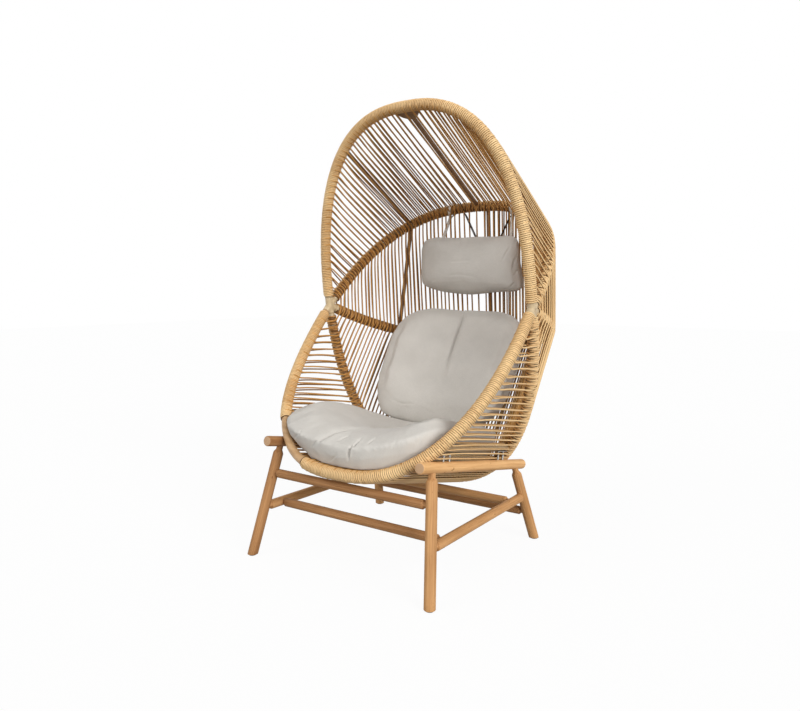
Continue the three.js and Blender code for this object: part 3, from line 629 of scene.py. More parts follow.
def span_ends(x, y, sx, sy, sigma, radius_y=STRAND_R):
    """Where strands leave hoop x and meet hoop y, their direction, and the normals at both ends."""
    cx, cy = x.at(sx)[0], y.at(sy)[0]
    p, q = cx, cy
    for _ in range(3):
        d = unit(q - p)
        nx, ny = side_normal(x, sx, d), side_normal(y, sy, d)
        p, q = cx + sigma * STRAND_R * nx, cy + sigma * radius_y * ny
    return p, q, unit(q - p), nx, ny


def wrap(hoop, s, normal, w, turn, radius, advance):
    """Points on the pipe from `turn` radians behind the tangent point up to it; travel is along w there."""
    sink = 0.0022
    share = np.linspace(1, 0, 12)
    theta = turn[:, None] * share
    centre = hoop.at(s[:, None] + advance * theta)[0]
    r = np.reshape(radius, (-1, 1, 1)) - sink * share[None, :, None] ** 3
    return centre + r * (np.cos(theta)[..., None] * normal[:, None] - np.sin(theta)[..., None] * w[:, None])


def span(p, q, w0, w1, ease0, ease1, slack):
    """A taut strand from p to q that leaves along w0 and arrives along w1."""
    d = unit(q - p)
    length = np.linalg.norm(q - p, axis=-1, keepdims=True)
    share = 0.5 - 0.5 * np.cos(np.linspace(0, np.pi, 18)[1:-1])
    x = share[None, :, None] * length[:, None]
    u, v = x / ease0, (length[:, None] - x) / ease1
    path = p[:, None] + d[:, None] * x
    path = path + (w0 - d)[:, None] * ease0 * u * np.exp(-u) - (w1 - d)[:, None] * ease1 * v * np.exp(-v)
    return path + slack[:, None] * (4 * share * (1 - share))[None, :, None]


def jitter(count, size):
    return np.clip(rng.normal(0, size, count), -2 * size, 2 * size)


def snap(hoop, s, normal):
    """Moves a place along a wound rim to where its winding passes that side of the pipe."""
    _, _, outward, plane = hoop.at(s)
    turns = np.arctan2(dot(normal, plane)[:, 0], dot(normal, outward)[:, 0]) / (2 * np.pi)
    pitch = RIM_WINDING["pitch"]
    return pitch * (np.round(s / pitch - turns) + turns)


ARCS = {name: np.array([hoop.arc(degrees / 180 * np.pi) for degrees in TURN]) for name, hoop in HOOPS.items()}
PAIR_JITTER = {name: jitter(PAIRS, 0.0012) for name in HOOPS}
INNER_LAYER = {}


def places(row, name, sigma):
    """Where the strands of one layer meet a hoop: at even turns, the outer layer leading the inner."""
    s = ARCS[name] + PAIR_JITTER[name] + jitter(PAIRS, 0.0008)
    return s + lead(row, name) if sigma > 0 else s


def weave(row, top, low, sigma):
    """One layer of a row's strands, each held by a part turn round its two hoops."""
    ha, hb = HOOPS[top], HOOPS[low]
    sa, sb = places(row, top, sigma), places(row, low, sigma)
    keep = (np.minimum(sa, ha.length - sa) > STRAND_START) & (np.minimum(sb, hb.length - sb) > STRAND_START)
    sa, sb = sa[keep], sb[keep]
    for _ in range(2):
        _, _, _, na, nb = span_ends(ha, hb, sa, sb, sigma)
        if sigma > 0 and top == HOOD:
            sa = snap(ha, sa, na)
        if sigma > 0 and low == SEAT:
            sb = snap(hb, sb, nb)
    count = len(sa)
    bare = (sb > BARE[0] - BARE_MARGIN) & (sb < BARE[1] + BARE_MARGIN) & (low == SEAT)
    radius_b = np.where(bare, BARE_R, STRAND_R)
    p, q, d, na, nb = span_ends(ha, hb, sa, sb, sigma, radius_b[:, None])
    if sigma < 0:
        INNER_LAYER[row] = (p, q)
    wa, wb = square_to(ha.at(sa)[1], d), square_to(hb.at(sb)[1], d)
    grip = OUTER_GRIP if sigma > 0 else INNER_GRIP
    grip_a = RIM_GRIP if top == HOOD else grip
    grip_b = RIM_GRIP if low == SEAT else grip
    turn_a = np.full(count, math.radians(grip_a["turn"]))
    turn_b = np.where(bare, math.radians(BARE_TURN), math.radians(grip_b["turn"]))
    head = wrap(ha, sa, sigma * na, wa, turn_a, STRAND_R, grip_a["advance"])
    tail = wrap(hb, sb, sigma * nb, -wb, turn_b, radius_b, -grip_b["advance"])[:, ::-1]
    w0, w1 = unit(head[:, -1] - head[:, -2]), unit(tail[:, 1] - tail[:, 0])
    slack = jitter(count, 0.0012)[:, None] * unit(np.cross(d, na)) + jitter(count, 0.0008)[:, None] * na
    middle = span(p, q, w0, w1, grip_a["ease"], grip_b["ease"], slack)
    tone = np.clip(0.55 + jitter(count, 0.17), 0.05, 1)
    return Mesher().tubes(np.concatenate([head, middle, tail], 1), CORD_R, tone=tone)


for row, (top, low) in ROWS.items():
    woven = [f"{row}_{side}" for side in ("right", "middle", "left")]
    weave(row, top, low, 1).build(f"{row}_outer", CANE, slot="cord", replaces=woven)
for row, (top, low) in ROWS.items():
    weave(row, top, low, -1).build(f"{row}_inner", CANE_INNER, slot="cord")

# The stand.
RAIL_R, LEG_R, NECK_R, SIDE_R, CROSS_R, TENON_R = (v * MM for v in (17, 17, 10.6, 15.5, 14.5, 9))
FOOT_CUT, FOOT_EDGE = 0.0033, 0.0012
STRETCHER_Z, REAR_LOW_Z = 159 * MM, 101 * MM
LEG_INSET, SIDE_INSET = LEG_R + 5 * MM, SIDE_R + 5 * MM
STUD_R, THREAD_R, STUD_SPACE = 0.0035, 0.0031, 17 * MM
PLATE_SIZE, PLATE_EDGE = (0.016, 0.058, 0.003), 0.0009
# Each member's teak tint is partly its own colour and partly painted light and shade. The pale tint is on the
# lit right top rail. The red one, which every member not listed gets, is on the left and front members in the
# bowl's shade.
TINTS_AND_SHADE = {
    "top_rail_right": "pale", "leg_front_right": "tan", "side_stretcher_right": "tan",
    "leg_rear_right": "tan", "rear_rail_upper": "tan", "side_stretcher_left": "tan", "leg_rear_left": "tan",
}


def rounded(points, radius):
    """Rounds the corners of a profile of (distance, radius) points."""
    out = [points[0]]
    for corner in zip(points, points[1:], points[2:]):
        a, b, c = map(np.array, corner)
        la, lc = np.linalg.norm(a - b), np.linalg.norm(c - b)
        r = min(radius, la * 0.48, lc * 0.48)
        p, q = b + (a - b) / la * r, b + (c - b) / lc * r
        for k in np.linspace(0, 1, 6):
            out.append(tuple((1 - k) ** 2 * p + 2 * k * (1 - k) * b + k ** 2 * q))
    out.append(points[-1])
    return out


def axes_at(origin, x, y, z):
    """The matrix that moves a piece to an origin and turns it to three axes."""
    matrix = Matrix((Vector(x), Vector(y), Vector(z))).transposed().to_4x4()
    matrix.translation = Vector(origin)
    return matrix


def upright(start, direction):
    """The matrix that lays a piece made along +Z on an axis."""
    z = Vector(direction).normalized()
    x = Vector(X_AXIS) if abs(z.x) < 0.9 else Vector(UP)
    x = (x - x.dot(z) * z).normalized()
    return axes_at(start, x, z.cross(x), z)


def turned(name, start, direction, profile, sides=44):
    """A turned piece from (distance, radius) pairs along its axis."""
    dist, rad = np.array(profile).T
    path = np.stack([dist * 0, dist * 0, dist], 1)
    obj = show(Mesher().tubes(path, rad, sides=sides, facing=X_AXIS).make(name))
    obj.matrix_world = upright(start, direction)
    return obj


def carve(obj, cutters):
    """Cuts round holes in a piece, then shades it smooth up to its sharp edges."""
    for cutter in cutters:
        cut = obj.modifiers.new("cut", "BOOLEAN")
        cut.operation = "DIFFERENCE"
        cut.solver = "EXACT"
        cut.object = cutter
    bake(obj)
    for cutter in cutters:
        mesh = cutter.data
        bpy.data.objects.remove(cutter)
        bpy.data.meshes.remove(mesh)
    obj.data.set_sharp_from_angle(angle=math.radians(38))
    return obj


def timber(obj, node):
    return place(obj, WOODS[TINTS_AND_SHADE.get(node, "red")], replaces=[node])


def runner_at(sign, y):
    back, front = HOOPS[LOWER].over(sign * RUNNER_X), HOOPS[SEAT].over(sign * RUNNER_X)
    return front + (back - front) * (y - front[1]) / (back[1] - front[1])


# The top rails hang under the runners, by a little more at the rear mount, and run on past both mounts.
MOUNTS = {"front": HOOPS[SEAT].over(RUNNER_X)[1] + 49 * MM,
          "rear": HOOPS[LOWER].over(RUNNER_X)[1] - 70.5 * MM}
front_under = runner_at(1, MOUNTS["front"]) - 52.45 * MM * UP
rear_under = runner_at(1, MOUNTS["rear"]) - 56.8 * MM * UP
FRONT_OVERHANG, REAR_OVERHANG = 139.4 * MM, 170.4 * MM
RAIL_LENGTH = float(np.linalg.norm(rear_under - front_under)) + FRONT_OVERHANG + REAR_OVERHANG
RAIL_DIR = unit(rear_under - front_under)
RAIL_START = front_under - RAIL_DIR * FRONT_OVERHANG
RAIL_UP = np.cross(X_AXIS, RAIL_DIR)


def rail_point(sign, distance):
    return (RAIL_START + RAIL_DIR * distance) * np.array([sign, 1, 1])


def rail_at(sign, y):
    return rail_point(sign, (y - rail_point(sign, 0)[1]) / RAIL_DIR[1])


# A leg's splay and overhang in mm, and where along the rail its foot is set out from and its top enters.
LEG_PLACES = {"front": (52, -25, 0, 66 * MM), "rear": (43.5, 20.5, RAIL_LENGTH, RAIL_LENGTH - 62 * MM)}
LEGS = {}
for side, sign in SIDES.items():
    for end, (splay, overhang, foot_place, top_place) in LEG_PLACES.items():
        foot = rail_point(sign, foot_place) + np.array([sign * splay, overhang, 0]) * MM
        LEGS[end, side] = (foot * np.array([1, 1, 0]), rail_point(sign, top_place))


def on_leg(end, side, height):
    bottom, top = LEGS[end, side]
    return bottom + (top - bottom) * height / top[2]


def bolt_holes(sign):
    """The two stepped holes under a rail at each mount, and two pin holes on its outer side, as cutters."""
    pin_r, bore_r, bolt_r = 0.0022, 0.0046, 0.0037
    slant = math.radians(42)
    outward = math.cos(slant) * sign * X_AXIS - math.sin(slant) * RAIL_UP
    pin = [(0, pin_r), (0.012, pin_r)]
    bolt = [(0, bore_r), (0.019, bore_r), (0.0191, bolt_r), (0.060, bolt_r)]
    cutters = []
    for distance in (125.5 * MM, 160.5 * MM):
        start = rail_point(sign, distance) + outward * 11 * MM
        cutters.append(turned(f"pin_{len(cutters)}", start, outward, pin, 20))
    for y in MOUNTS.values():
        for along in (-STUD_SPACE, STUD_SPACE):
            start = rail_at(sign, y) + RAIL_DIR * along - RAIL_UP * 30 * MM
            cutters.append(turned(f"cut_{len(cutters)}", start, RAIL_UP, bolt, 24))
    return cutters


def cut_foot(leg, bottom):
    """Cuts a leg level just above its glide, and breaks the edge."""
    local = leg.matrix_world.inverted()
    mesh = bmesh.new()
    mesh.from_mesh(leg.data)
    cut = bmesh.ops.bisect_plane(mesh, geom=mesh.verts[:] + mesh.edges[:] + mesh.faces[:],
                                 plane_co=local @ Vector((bottom[0], bottom[1], FOOT_CUT)),
                                 plane_no=local.to_3x3() @ Vector(UP), clear_inner=True)
    rim_edges = [item for item in cut["geom_cut"] if isinstance(item, bmesh.types.BMEdge)]
    filled = bmesh.ops.contextual_create(mesh, geom=rim_edges)["faces"]
    rims = [edge for face in filled for edge in face.edges]
    bmesh.ops.bevel(mesh, geom=rims, offset=FOOT_EDGE, segments=2, affect="EDGES", profile=0.5)
    mesh.to_mesh(leg.data)
    mesh.free()
    leg.data.set_sharp_from_angle(angle=math.radians(40))


def leg_profile(length):
    """A leg, from below the floor to the neck inside the rail."""
    shoulder = length - RAIL_R - 13 * MM
    neck = rounded([(0.02, LEG_R), (shoulder - 9 * MM, LEG_R), (shoulder - 2 * MM, NECK_R + 2.4 * MM),
                    (shoulder + 1.5 * MM, NECK_R), (length + 6 * MM, NECK_R)], 0.005)
    return [(-0.020, LEG_R)] + neck + [(length + 8 * MM, NECK_R)]


GLIDE_PROFILE = rounded([(0, 0.0005), (0, 0.012), (0.003, 0.012), (0.003, 0.0025), (0.010, 0.0025)],
                        0.0009) + [(0.011, 0.0005)]
RAIL_PROFILE = rounded([(0, 0.0005), (0, RAIL_R), (RAIL_LENGTH, RAIL_R), (RAIL_LENGTH, 0.0005)], 0.0045)

for side, sign in SIDES.items():
    rail = turned(f"top_rail_{side}_turned", rail_point(sign, 0), RAIL_DIR, RAIL_PROFILE)
    timber(carve(rail, bolt_holes(sign)), f"top_rail_{side}")

for (end, side), (bottom, top) in LEGS.items():
    profile = leg_profile(float(np.linalg.norm(top - bottom)))
    leg = turned(f"leg_{end}_{side}_turned", bottom, top - bottom, profile)
    cut_foot(leg, bottom)
    timber(leg, f"leg_{end}_{side}")
    glide = turned(f"glide_{end}_{side}_disc", bottom, UP, GLIDE_PROFILE, 32)
    place(glide, PLASTIC, replaces=[f"glide_{end}_{side}"])


def bar(name, start, end, radius, inset):
    """A round bar with a thinner tenon at each end."""
    length = float(np.linalg.norm(end - start))
    half = [(0, TENON_R), (inset, TENON_R), (inset + 3.2 * MM, radius - 1.2 * MM), (inset + 5 * MM, radius)]
    other = [(length - distance, r) for distance, r in reversed(half)]
    timber(turned(f"{name}_turned", start, end - start, rounded(half + other, 0.0035)), name)


def between_legs(end, height):
    return on_leg(end, "left", height), on_leg(end, "right", height)


def between_stretchers(end, distance):
    """The two points of the side stretchers that lie a distance from the legs at one end."""
    ends = []
    for side in ("left", "right"):
        near = on_leg(end, side, STRETCHER_Z)
        far = on_leg("rear" if end == "front" else "front", side, STRETCHER_Z)
        ends.append(near + (far - near) * distance / abs(far[1] - near[1]))
    return ends


for side in SIDES:
    ends = (on_leg("front", side, STRETCHER_Z), on_leg("rear", side, STRETCHER_Z))
    bar(f"side_stretcher_{side}", *ends, SIDE_R, LEG_INSET)
seat_front_z = HOOPS[SEAT].by_turn(np.pi / 2)[2]
bar("front_rail_upper", *between_legs("front", seat_front_z - 51.8 * MM), CROSS_R, LEG_INSET)
bar("front_rail_lower", *between_stretchers("front", 75.8 * MM), CROSS_R, SIDE_INSET)
bar("rear_rail_upper", *between_stretchers("rear", 81.3 * MM), CROSS_R, SIDE_INSET)
bar("rear_rail_lower", *between_legs("rear", REAR_LOW_Z), CROSS_R, LEG_INSET)


def stud_plate(name, origin):
    plate = bmesh.new()
    bmesh.ops.create_cube(plate, size=1.0, matrix=Matrix.Diagonal((*PLATE_SIZE, 1)))
    bmesh.ops.bevel(plate, geom=plate.edges[:], offset=PLATE_EDGE, segments=3, affect="EDGES", profile=0.5)
    mesh = bpy.data.meshes.new(f"{name}_smooth")
    plate.to_mesh(mesh)
    plate.free()
    mesh.shade_smooth()
    mesh.set_sharp_from_angle(angle=math.radians(50))
    obj = show(bpy.data.objects.new(mesh.name, mesh))
    obj.matrix_world = axes_at(origin, X_AXIS, RAIL_DIR, RAIL_UP)
    place(obj, STEEL, replaces=[name])


def stud_profile(low, high):
    """A threaded rod: the radius goes up and down at every half millimetre."""
    ridge = np.arange(low, high - 0.001, 0.0005)
    thread = [(float(h), STUD_R if i % 2 else THREAD_R) for i, h in enumerate(ridge)]
    return [(low - 0.0004, 0.0012)] + thread + [(high, STUD_R)]


for side, sign in SIDES.items():
    for end, y in MOUNTS.items():
        rail = rail_at(sign, y)
        top = float(np.dot(runner_at(sign, y) - rail, RAIL_UP)) - 8.3 * MM - PLATE_SIZE[2] / 2
        stud_plate(f"stud_plate_{end}_{side}", rail + RAIL_UP * top)
        for k, along in enumerate((-STUD_SPACE, STUD_SPACE)):
            profile = stud_profile(6 * MM - RAIL_R, top)
            stud = turned(f"stud_{end}_{side}_{k}", rail + RAIL_DIR * along, RAIL_UP, profile, 16)
            place(stud, STEEL)

# The camera, and the photograph's frame that it gives.
EYE, AIM, LENS, SENSOR = np.array([1.36406, -2.01420, 0.88733]), np.array([0, -0.107242, 0.6581]), 31.594, 36
PHOTO_WIDTH, PHOTO_MIDDLE_X, PHOTO_MIDDLE_Y = 800, 400, 355.5
camera = show(bpy.data.objects.new("camera", bpy.data.cameras.new("camera")))
camera.data.lens = LENS
camera.data.sensor_width = SENSOR
camera.location = tuple(EYE)
camera.rotation_euler = Vector(AIM - EYE).to_track_quat("-Z", "Y").to_euler()
bpy.context.scene.camera = camera
FOCAL = LENS / SENSOR * PHOTO_WIDTH
AHEAD = unit(AIM - EYE)
RIGHTWARD = unit(np.cross(AHEAD, UP))
UPWARD = np.cross(RIGHTWARD, AHEAD)


def pixel(points):
    """Where points fall in the photograph's frame, with their distance ahead of the camera."""
    away = points - EYE
    depth = away @ AHEAD
    x = PHOTO_MIDDLE_X + FOCAL * (away @ RIGHTWARD) / depth
    y = PHOTO_MIDDLE_Y - FOCAL * (away @ UPWARD) / depth
    return x, y, depth


def ray_through(x, y):
    """The direction from the camera through a place in the photograph's frame."""
    return unit(AHEAD + RIGHTWARD * (x - PHOTO_MIDDLE_X) / FOCAL - UPWARD * (y - PHOTO_MIDDLE_Y) / FOCAL)


# Cushions: swollen, pulled to the outline, kept off what they rest on, then creased and sewn.
VOXEL = 0.006
CLOTH_SETTINGS = {
    "quality": 5, "mass": 0.25, "tension_stiffness": 18, "compression_stiffness": 18,
    "shear_stiffness": 8, "bending_stiffness": 0.4, "use_pressure": True, "uniform_pressure_force": 4.0,
}
SHEET_GAP, HOOP_GAP, CUSHION_GAP = 0.0042, 0.0215, 0.0015
SEAM_DEPTH = 1.4 * MM


def vectors(items, field):
    values = np.empty(len(items) * 3, np.float32)
    items.foreach_get(field, values)
    return values.reshape(-1, 3).astype(float)


def coordinates(mesh):
    return vectors(mesh.vertices, "co")


def normals(mesh):
    return vectors(mesh.vertex_normals, "vector")


def move_to(mesh, points):
    mesh.vertices.foreach_set("co", points.astype(np.float32).ravel())
    mesh.update()


def evened(mesh, shift, rounds):
    """Averages a shift over the mesh's edges, so that only the broad swelling is left."""
    edges = np.empty(len(mesh.edges) * 2, np.int32)
    mesh.edges.foreach_get("vertices", edges)
    a, b = edges.reshape(-1, 2).T
    count = np.bincount(np.concatenate([a, b]), minlength=len(shift))[:, None]
    for _ in range(rounds):
        total = np.stack([np.bincount(a, shift[b, k], len(shift)) + np.bincount(b, shift[a, k], len(shift))
                          for k in range(3)], 1)
        shift = 0.5 * shift + 0.5 * total / count
    return shift


def swell(obj, most, calm):
    """Blows a cushion up as cloth under pressure, evens the swelling out and limits it."""
    rest = coordinates(obj.data)
    cloth = obj.modifiers.new("cloth", "CLOTH")
    for key, value in CLOTH_SETTINGS.items():
        setattr(cloth.settings, key, value)
    cloth.settings.effector_weights.gravity = 0
    cloth.collision_settings.use_collision = False
    for step in range(1, 21):
        bpy.context.scene.frame_set(step)
    graph = bpy.context.evaluated_depsgraph_get()
    swollen = coordinates(obj.evaluated_get(graph).data)
    obj.modifiers.clear()
    bpy.context.scene.frame_set(1)
    shift = evened(obj.data, swollen - rest, calm)
    size = np.linalg.norm(shift, axis=1, keepdims=True)
    move_to(obj.data, rest + shift * np.tanh(size / most) * most / np.maximum(size, 1e-9))


def cushion(node, most, calm):
    """The CAD cushion with its edges rounded off, swollen by air."""
    obj = show(bpy.data.objects.new(f"{node}_padded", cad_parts[node].data.copy()))
    remesh = obj.modifiers.new("remesh", "REMESH")
    remesh.mode = "VOXEL"
    remesh.voxel_size = VOXEL
    bake(obj)
    smooth = obj.modifiers.new("smooth", "LAPLACIANSMOOTH")
    smooth.iterations = 3
    smooth.lambda_factor = 1.2
    bake(obj)
    swell(obj, most, calm)
    return obj


def nudge(mesh, pulls):
    """Pulls the outline about, by places and shifts in the photograph's frame."""
    points = coordinates(mesh)
    across, down, depth = pixel(points)
    for (at_x, at_y), (by_x, by_y), reach in pulls:
        near = np.exp(-((across - at_x) ** 2 + (down - at_y) ** 2) / reach ** 2) * depth / FOCAL
        points += near[:, None] * (by_x * RIGHTWARD - by_y * UPWARD)
    move_to(mesh, points)


def press(mesh, dents):
    """Raises or lowers the upper face, by places seen from above."""
    points, facing = coordinates(mesh), normals(mesh)
    upper = np.clip(facing[:, 2] * 1.6, 0, 1)
    for (x, y), (reach_x, reach_y), rise in dents:
        near = np.exp(-((points[:, 0] - x) / reach_x) ** 2 - ((points[:, 1] - y) / reach_y) ** 2)
        points[:, 2] += near * upper * rise
    move_to(mesh, points)


def keep_off(mesh, tree, gap):
    """Moves the points that are behind a surface, or nearer to it than the gap, to its front."""
    reach = 0.05
    points = coordinates(mesh)
    for k, point in enumerate(points):
        foot, facing, _, far = tree.find_nearest(Vector(point), reach)
        if foot is None:
            continue
        height = (Vector(point) - foot).dot(facing)
        if height < gap and abs(height) > 0.8 * far:
            points[k] += np.array(facing) * (gap - height)
    move_to(mesh, points)


def keep_off_hoops(mesh, names, gap):
    """Moves the points that are nearer to a hoop's centre line than the gap away from it."""
    points = coordinates(mesh)
    for name in names:
        centres = HOOPS[name].points[::6]
        for part in np.array_split(np.arange(len(points)), 40):
            away = points[part][:, None] - centres[None]
            far = np.linalg.norm(away, axis=-1)
            near = far.argmin(1)
            rows = np.arange(len(part))
            least = far[rows, near]
            push = np.clip(gap - least, 0, None) / np.maximum(least, 1e-6)
            points[part] += away[rows, near] * push[:, None]
    move_to(mesh, points)


def strand_sheet(row):
    """The surface that the inner strands of a row lie in, facing the inside of the bowl."""
    points = np.concatenate(INNER_LAYER[row])
    count = len(points) // 2
    quads = [(i, i + 1, count + i + 1, count + i) for i in range(count - 1)]
    facing = np.cross(points[1] - points[0], points[count] - points[0])
    if dot(facing, BOWL_MIDDLE - points[0])[0] < 0:
        quads = [quad[::-1] for quad in quads]
    return BVHTree.FromPolygons([Vector(point) for point in points], quads)


def seam(obj, offset):
    """A sewn line round the cushion, where a plane across its thickness meets the cloth."""
    points = coordinates(obj.data)
    middle = points.mean(0)
    thin = np.linalg.svd((points - middle)[::7], full_matrices=False)[2][2]
    thin = thin * np.sign(thin[2] + 1e-9)
    mesh = bmesh.new()
    mesh.from_mesh(obj.data)
    cut = bmesh.ops.bisect_plane(mesh, geom=mesh.verts[:] + mesh.edges[:] + mesh.faces[:],
                                 plane_co=Vector(middle + thin * offset), plane_no=Vector(thin))
    mesh.normal_update()
    line = [item for item in cut["geom_cut"] if isinstance(item, bmesh.types.BMVert)]
    for vert, shift in [(v, v.normal * SEAM_DEPTH) for v in line]:
        vert.co -= shift
    mesh.to_mesh(obj.data)
    mesh.free()
    obj.data.update()


def fold_path(tree, corners):
    """A fold's line laid on the cushion, and how deep it is along it: nothing at both ends."""
    corners = np.array(corners, float)
    run = run_along(corners)
    count = max(int(run[-1] * 1.5), 4)
    path, taper = [], []
    for k, (x, y) in enumerate(between(np.linspace(0, run[-1], count), run, corners)):
        hit = tree.ray_cast(Vector(EYE), Vector(ray_through(x, y)))[0]
        if hit is not None:
            path.append(hit)
            taper.append(math.sin(math.pi * (k + 0.5) / count) ** 0.6)
    return np.array(path), np.array(taper)


def crease(obj, folds):
    """Presses folds into the cloth."""
    tree = BVHTree.FromObject(obj, bpy.context.evaluated_depsgraph_get())
    points, facing = coordinates(obj.data), normals(obj.data)
    moved = points.copy()
    for width, depth, lip, corners in folds:
        path, taper = fold_path(tree, corners)
        if len(path) < 3:
            continue
        margin = 4 * width * MM
        box = (points > path.min(0) - margin).all(1) & (points < path.max(0) + margin).all(1)
        gap = points[box][:, None] - path[None]
        far = np.linalg.norm(gap, axis=-1)
        near = far.argmin(1)
        least = far.min(1) / (width * MM)
        along = unit(np.gradient(path, axis=0))[near]
        side = np.sum(np.cross(along, facing[box]) * gap[np.arange(len(near)), near], axis=1)
        fold = -depth * np.exp(-least ** 2) + lip * np.sign(side) * least * np.exp(-(least / 1.6) ** 2)
        moved[box] += facing[box] * (fold * taper[near] * MM)[:, None]
    move_to(obj.data, moved)


def finish_cushion(obj, soft, node, below):
    nudge(obj.data, soft.pulls)
    press(obj.data, soft.dents)
    sheet = strand_sheet(soft.row)
    for _ in range(2):
        keep_off(obj.data, sheet, SHEET_GAP)
        keep_off_hoops(obj.data, soft.hoops, HOOP_GAP)
        if below is not None:
            keep_off(obj.data, below, CUSHION_GAP)
    obj.data.shade_smooth()
    subdivision = obj.modifiers.new("subdivision", "SUBSURF")
    subdivision.levels = 1
    subdivision.render_levels = 1
    bake(obj)
    crease(obj, soft.folds)
    if soft.seam_offset is not None:
        seam(obj, soft.seam_offset)
    obj.data.shade_smooth()
    place(obj, CLOTH, soft.body, [node])
    return BVHTree.FromObject(obj, bpy.context.evaluated_depsgraph_get())


# A pull is a place, a shift and a reach in pixels of the photograph. A dent is a place seen from above,
# its two reaches and its rise, in metres. A fold has a width, a depth and a lip in mm, and pixel corners.
Pull = namedtuple("Pull", "at by reach")
Dent = namedtuple("Dent", "at reaches rise")
Fold = namedtuple("Fold", "width depth lip corners")
Soft = namedtuple("Soft", "body most_swell calm seam_offset row hoops pulls dents folds")
SEAT_PULLS = [
    Pull((290, 424), (-10.0, 0), 22), Pull((294, 440), (-2.0, 0), 12), Pull((312, 406), (-1.6, -3.6), 22),
    Pull((336, 402), (0, -5.0), 26), Pull((300, 452), (0.8, -1.0), 18), Pull((330, 468), (0, -1.0), 22),
    Pull((360, 470), (0, -0.6), 30), Pull((396, 464), (0, -1.6), 22), Pull((404, 420), (0, -1.0), 18),
    Pull((434, 424), (0, -5.0), 20),
]
SEAT_DENTS = [
    Dent((-0.02, -0.14), (0.14, 0.12), -0.024), Dent((0.10, -0.04), (0.12, 0.10), -0.010),
    Dent((0.23, -0.30), (0.08, 0.10), 0.010),
]
SEAT_FOLDS = [
    Fold(10, 9, 5, [(312, 447), (320, 440), (335, 432), (350, 429), (375, 428.5), (400, 427), (425, 421),
                    (445, 413)]),
    Fold(3.6, 7.5, 3.2, [(318.5, 441), (326, 437), (334, 433)]),
    Fold(3.4, 6.0, 2.6, [(339, 440.5), (349, 436)]),
    Fold(3.6, 8.5, 3.6, [(348.5, 460), (349, 450), (351.5, 445)]),
    Fold(3.4, 6.0, 2.6, [(353, 447), (362, 438)]),
    Fold(3.2, 5.0, 2.2, [(368, 444), (376, 438)]),
    Fold(3.0, 4.6, 2.0, [(312, 447), (316, 440)]),
    Fold(2.8, 4.2, 1.8, [(294, 439), (302, 430)]),
    Fold(2.8, 2.0, 1.0, [(330, 462), (337, 455)]),
    Fold(2.8, 2.0, 1.0, [(392, 448), (397, 440)]),
    Fold(2.8, 2.0, 1.0, [(418, 444), (421, 436)]),
]
BACK_PULLS = [
    Pull((430, 312), (0, -4.2), 34), Pull((478, 312), (0, -3.2), 26), Pull((500, 314), (0, -0.8), 16),
    Pull((378, 372), (1.6, 0), 26), Pull((386, 412), (-5.0, 4.0), 16), Pull((412, 426), (-1.0, 2.0), 18),
]
BACK_FOLDS = [
    Fold(14, 9, -5, [(466, 306), (459, 325), (452, 345), (446, 362), (443, 378)]),
    Fold(3.4, 9.0, 3.6, [(465, 307), (461, 319), (456, 332), (450, 350), (446, 362), (445, 371)]),
    Fold(2.8, 2.2, 1.0, [(508, 322), (514, 332)]),
    Fold(2.8, 1.8, 0.9, [(494, 315), (499, 324)]),
    Fold(2.8, 1.8, 0.9, [(441, 313), (437, 321)]),
    Fold(3.4, 1.6, 0.8, [(392, 400), (402, 404), (414, 404)]),
]
PILLOW_PULLS = [
    Pull((470, 293), (0, 4.4), 28), Pull((425, 290), (1.0, -2.0), 12), Pull((423, 262), (-2.4, 0), 24),
    Pull((436, 241), (0, -4.0), 20), Pull((476, 239), (0, -4.2), 26), Pull((512, 240), (0, -2.4), 16),
    Pull((520, 284), (6.0, 3.0), 14), Pull((521, 266), (1.6, 0), 14),
]
PILLOW_FOLDS = [
    Fold(2.8, 3.0, 1.4, [(519, 251), (514, 260), (512, 270)]),
    Fold(2.8, 2.6, 1.2, [(510, 246), (504, 256), (502, 262)]),
    Fold(2.6, 2.4, 1.2, [(519, 268), (513, 276)]),
    Fold(2.6, 2.0, 1.0, [(515, 282), (508, 288)]),
    Fold(2.6, 1.8, 0.9, [(461, 239), (458, 246)]),
    Fold(2.6, 1.8, 0.9, [(436, 240), (438, 247)]),
    Fold(2.6, 1.6, 0.8, [(430, 284), (436, 279)]),
    Fold(3.0, 1.6, 0.8, [(446, 276), (460, 275), (474, 277)]),
    Fold(3.0, 1.4, 0.7, [(450, 262), (470, 261)]),
]
SOFT = {
    "seat_cushion": Soft("loose_seat_cushion", 0.008, 8, None, "seat_weave", (LOWER, SEAT),
                         SEAT_PULLS, SEAT_DENTS, SEAT_FOLDS),
    "back_cushion": Soft("loose_back_cushion", 0.008, 30, 0.0, "lower_back_weave", (MIDDLE, LOWER),
                         BACK_PULLS, [], BACK_FOLDS),
    "head_pillow": Soft("tied_head_pillow", 0.006, 12, 0.0, "upper_back_weave", (UPPER,),
                        PILLOW_PULLS, [], PILLOW_FOLDS),
}
below = None
for node, soft in SOFT.items():
    below = finish_cushion(cushion(node, soft.most_swell, soft.calm), soft, node, below)

# The pillow's ties: two straps, and beside each a thin dark cord, from the hoop to the pillow's upper edge.
PILLOW = HOOPS[UPPER].by_turn(np.pi / 2) + np.array([0, -52.1, -228.7]) * MM
TIE_LOOP_R = 0.0262
STRAPS = {"right": (0.158, 0.158), "left": (-0.1115, -0.172)}
CORDS = {"left": (-0.070, 0.076), "right": (0.161, 0.072)}
STRAP_HALF_WIDTH, STRAP_HALF_HEIGHT, TIE_CORD_R = 0.0058, 0.0010, 0.0019


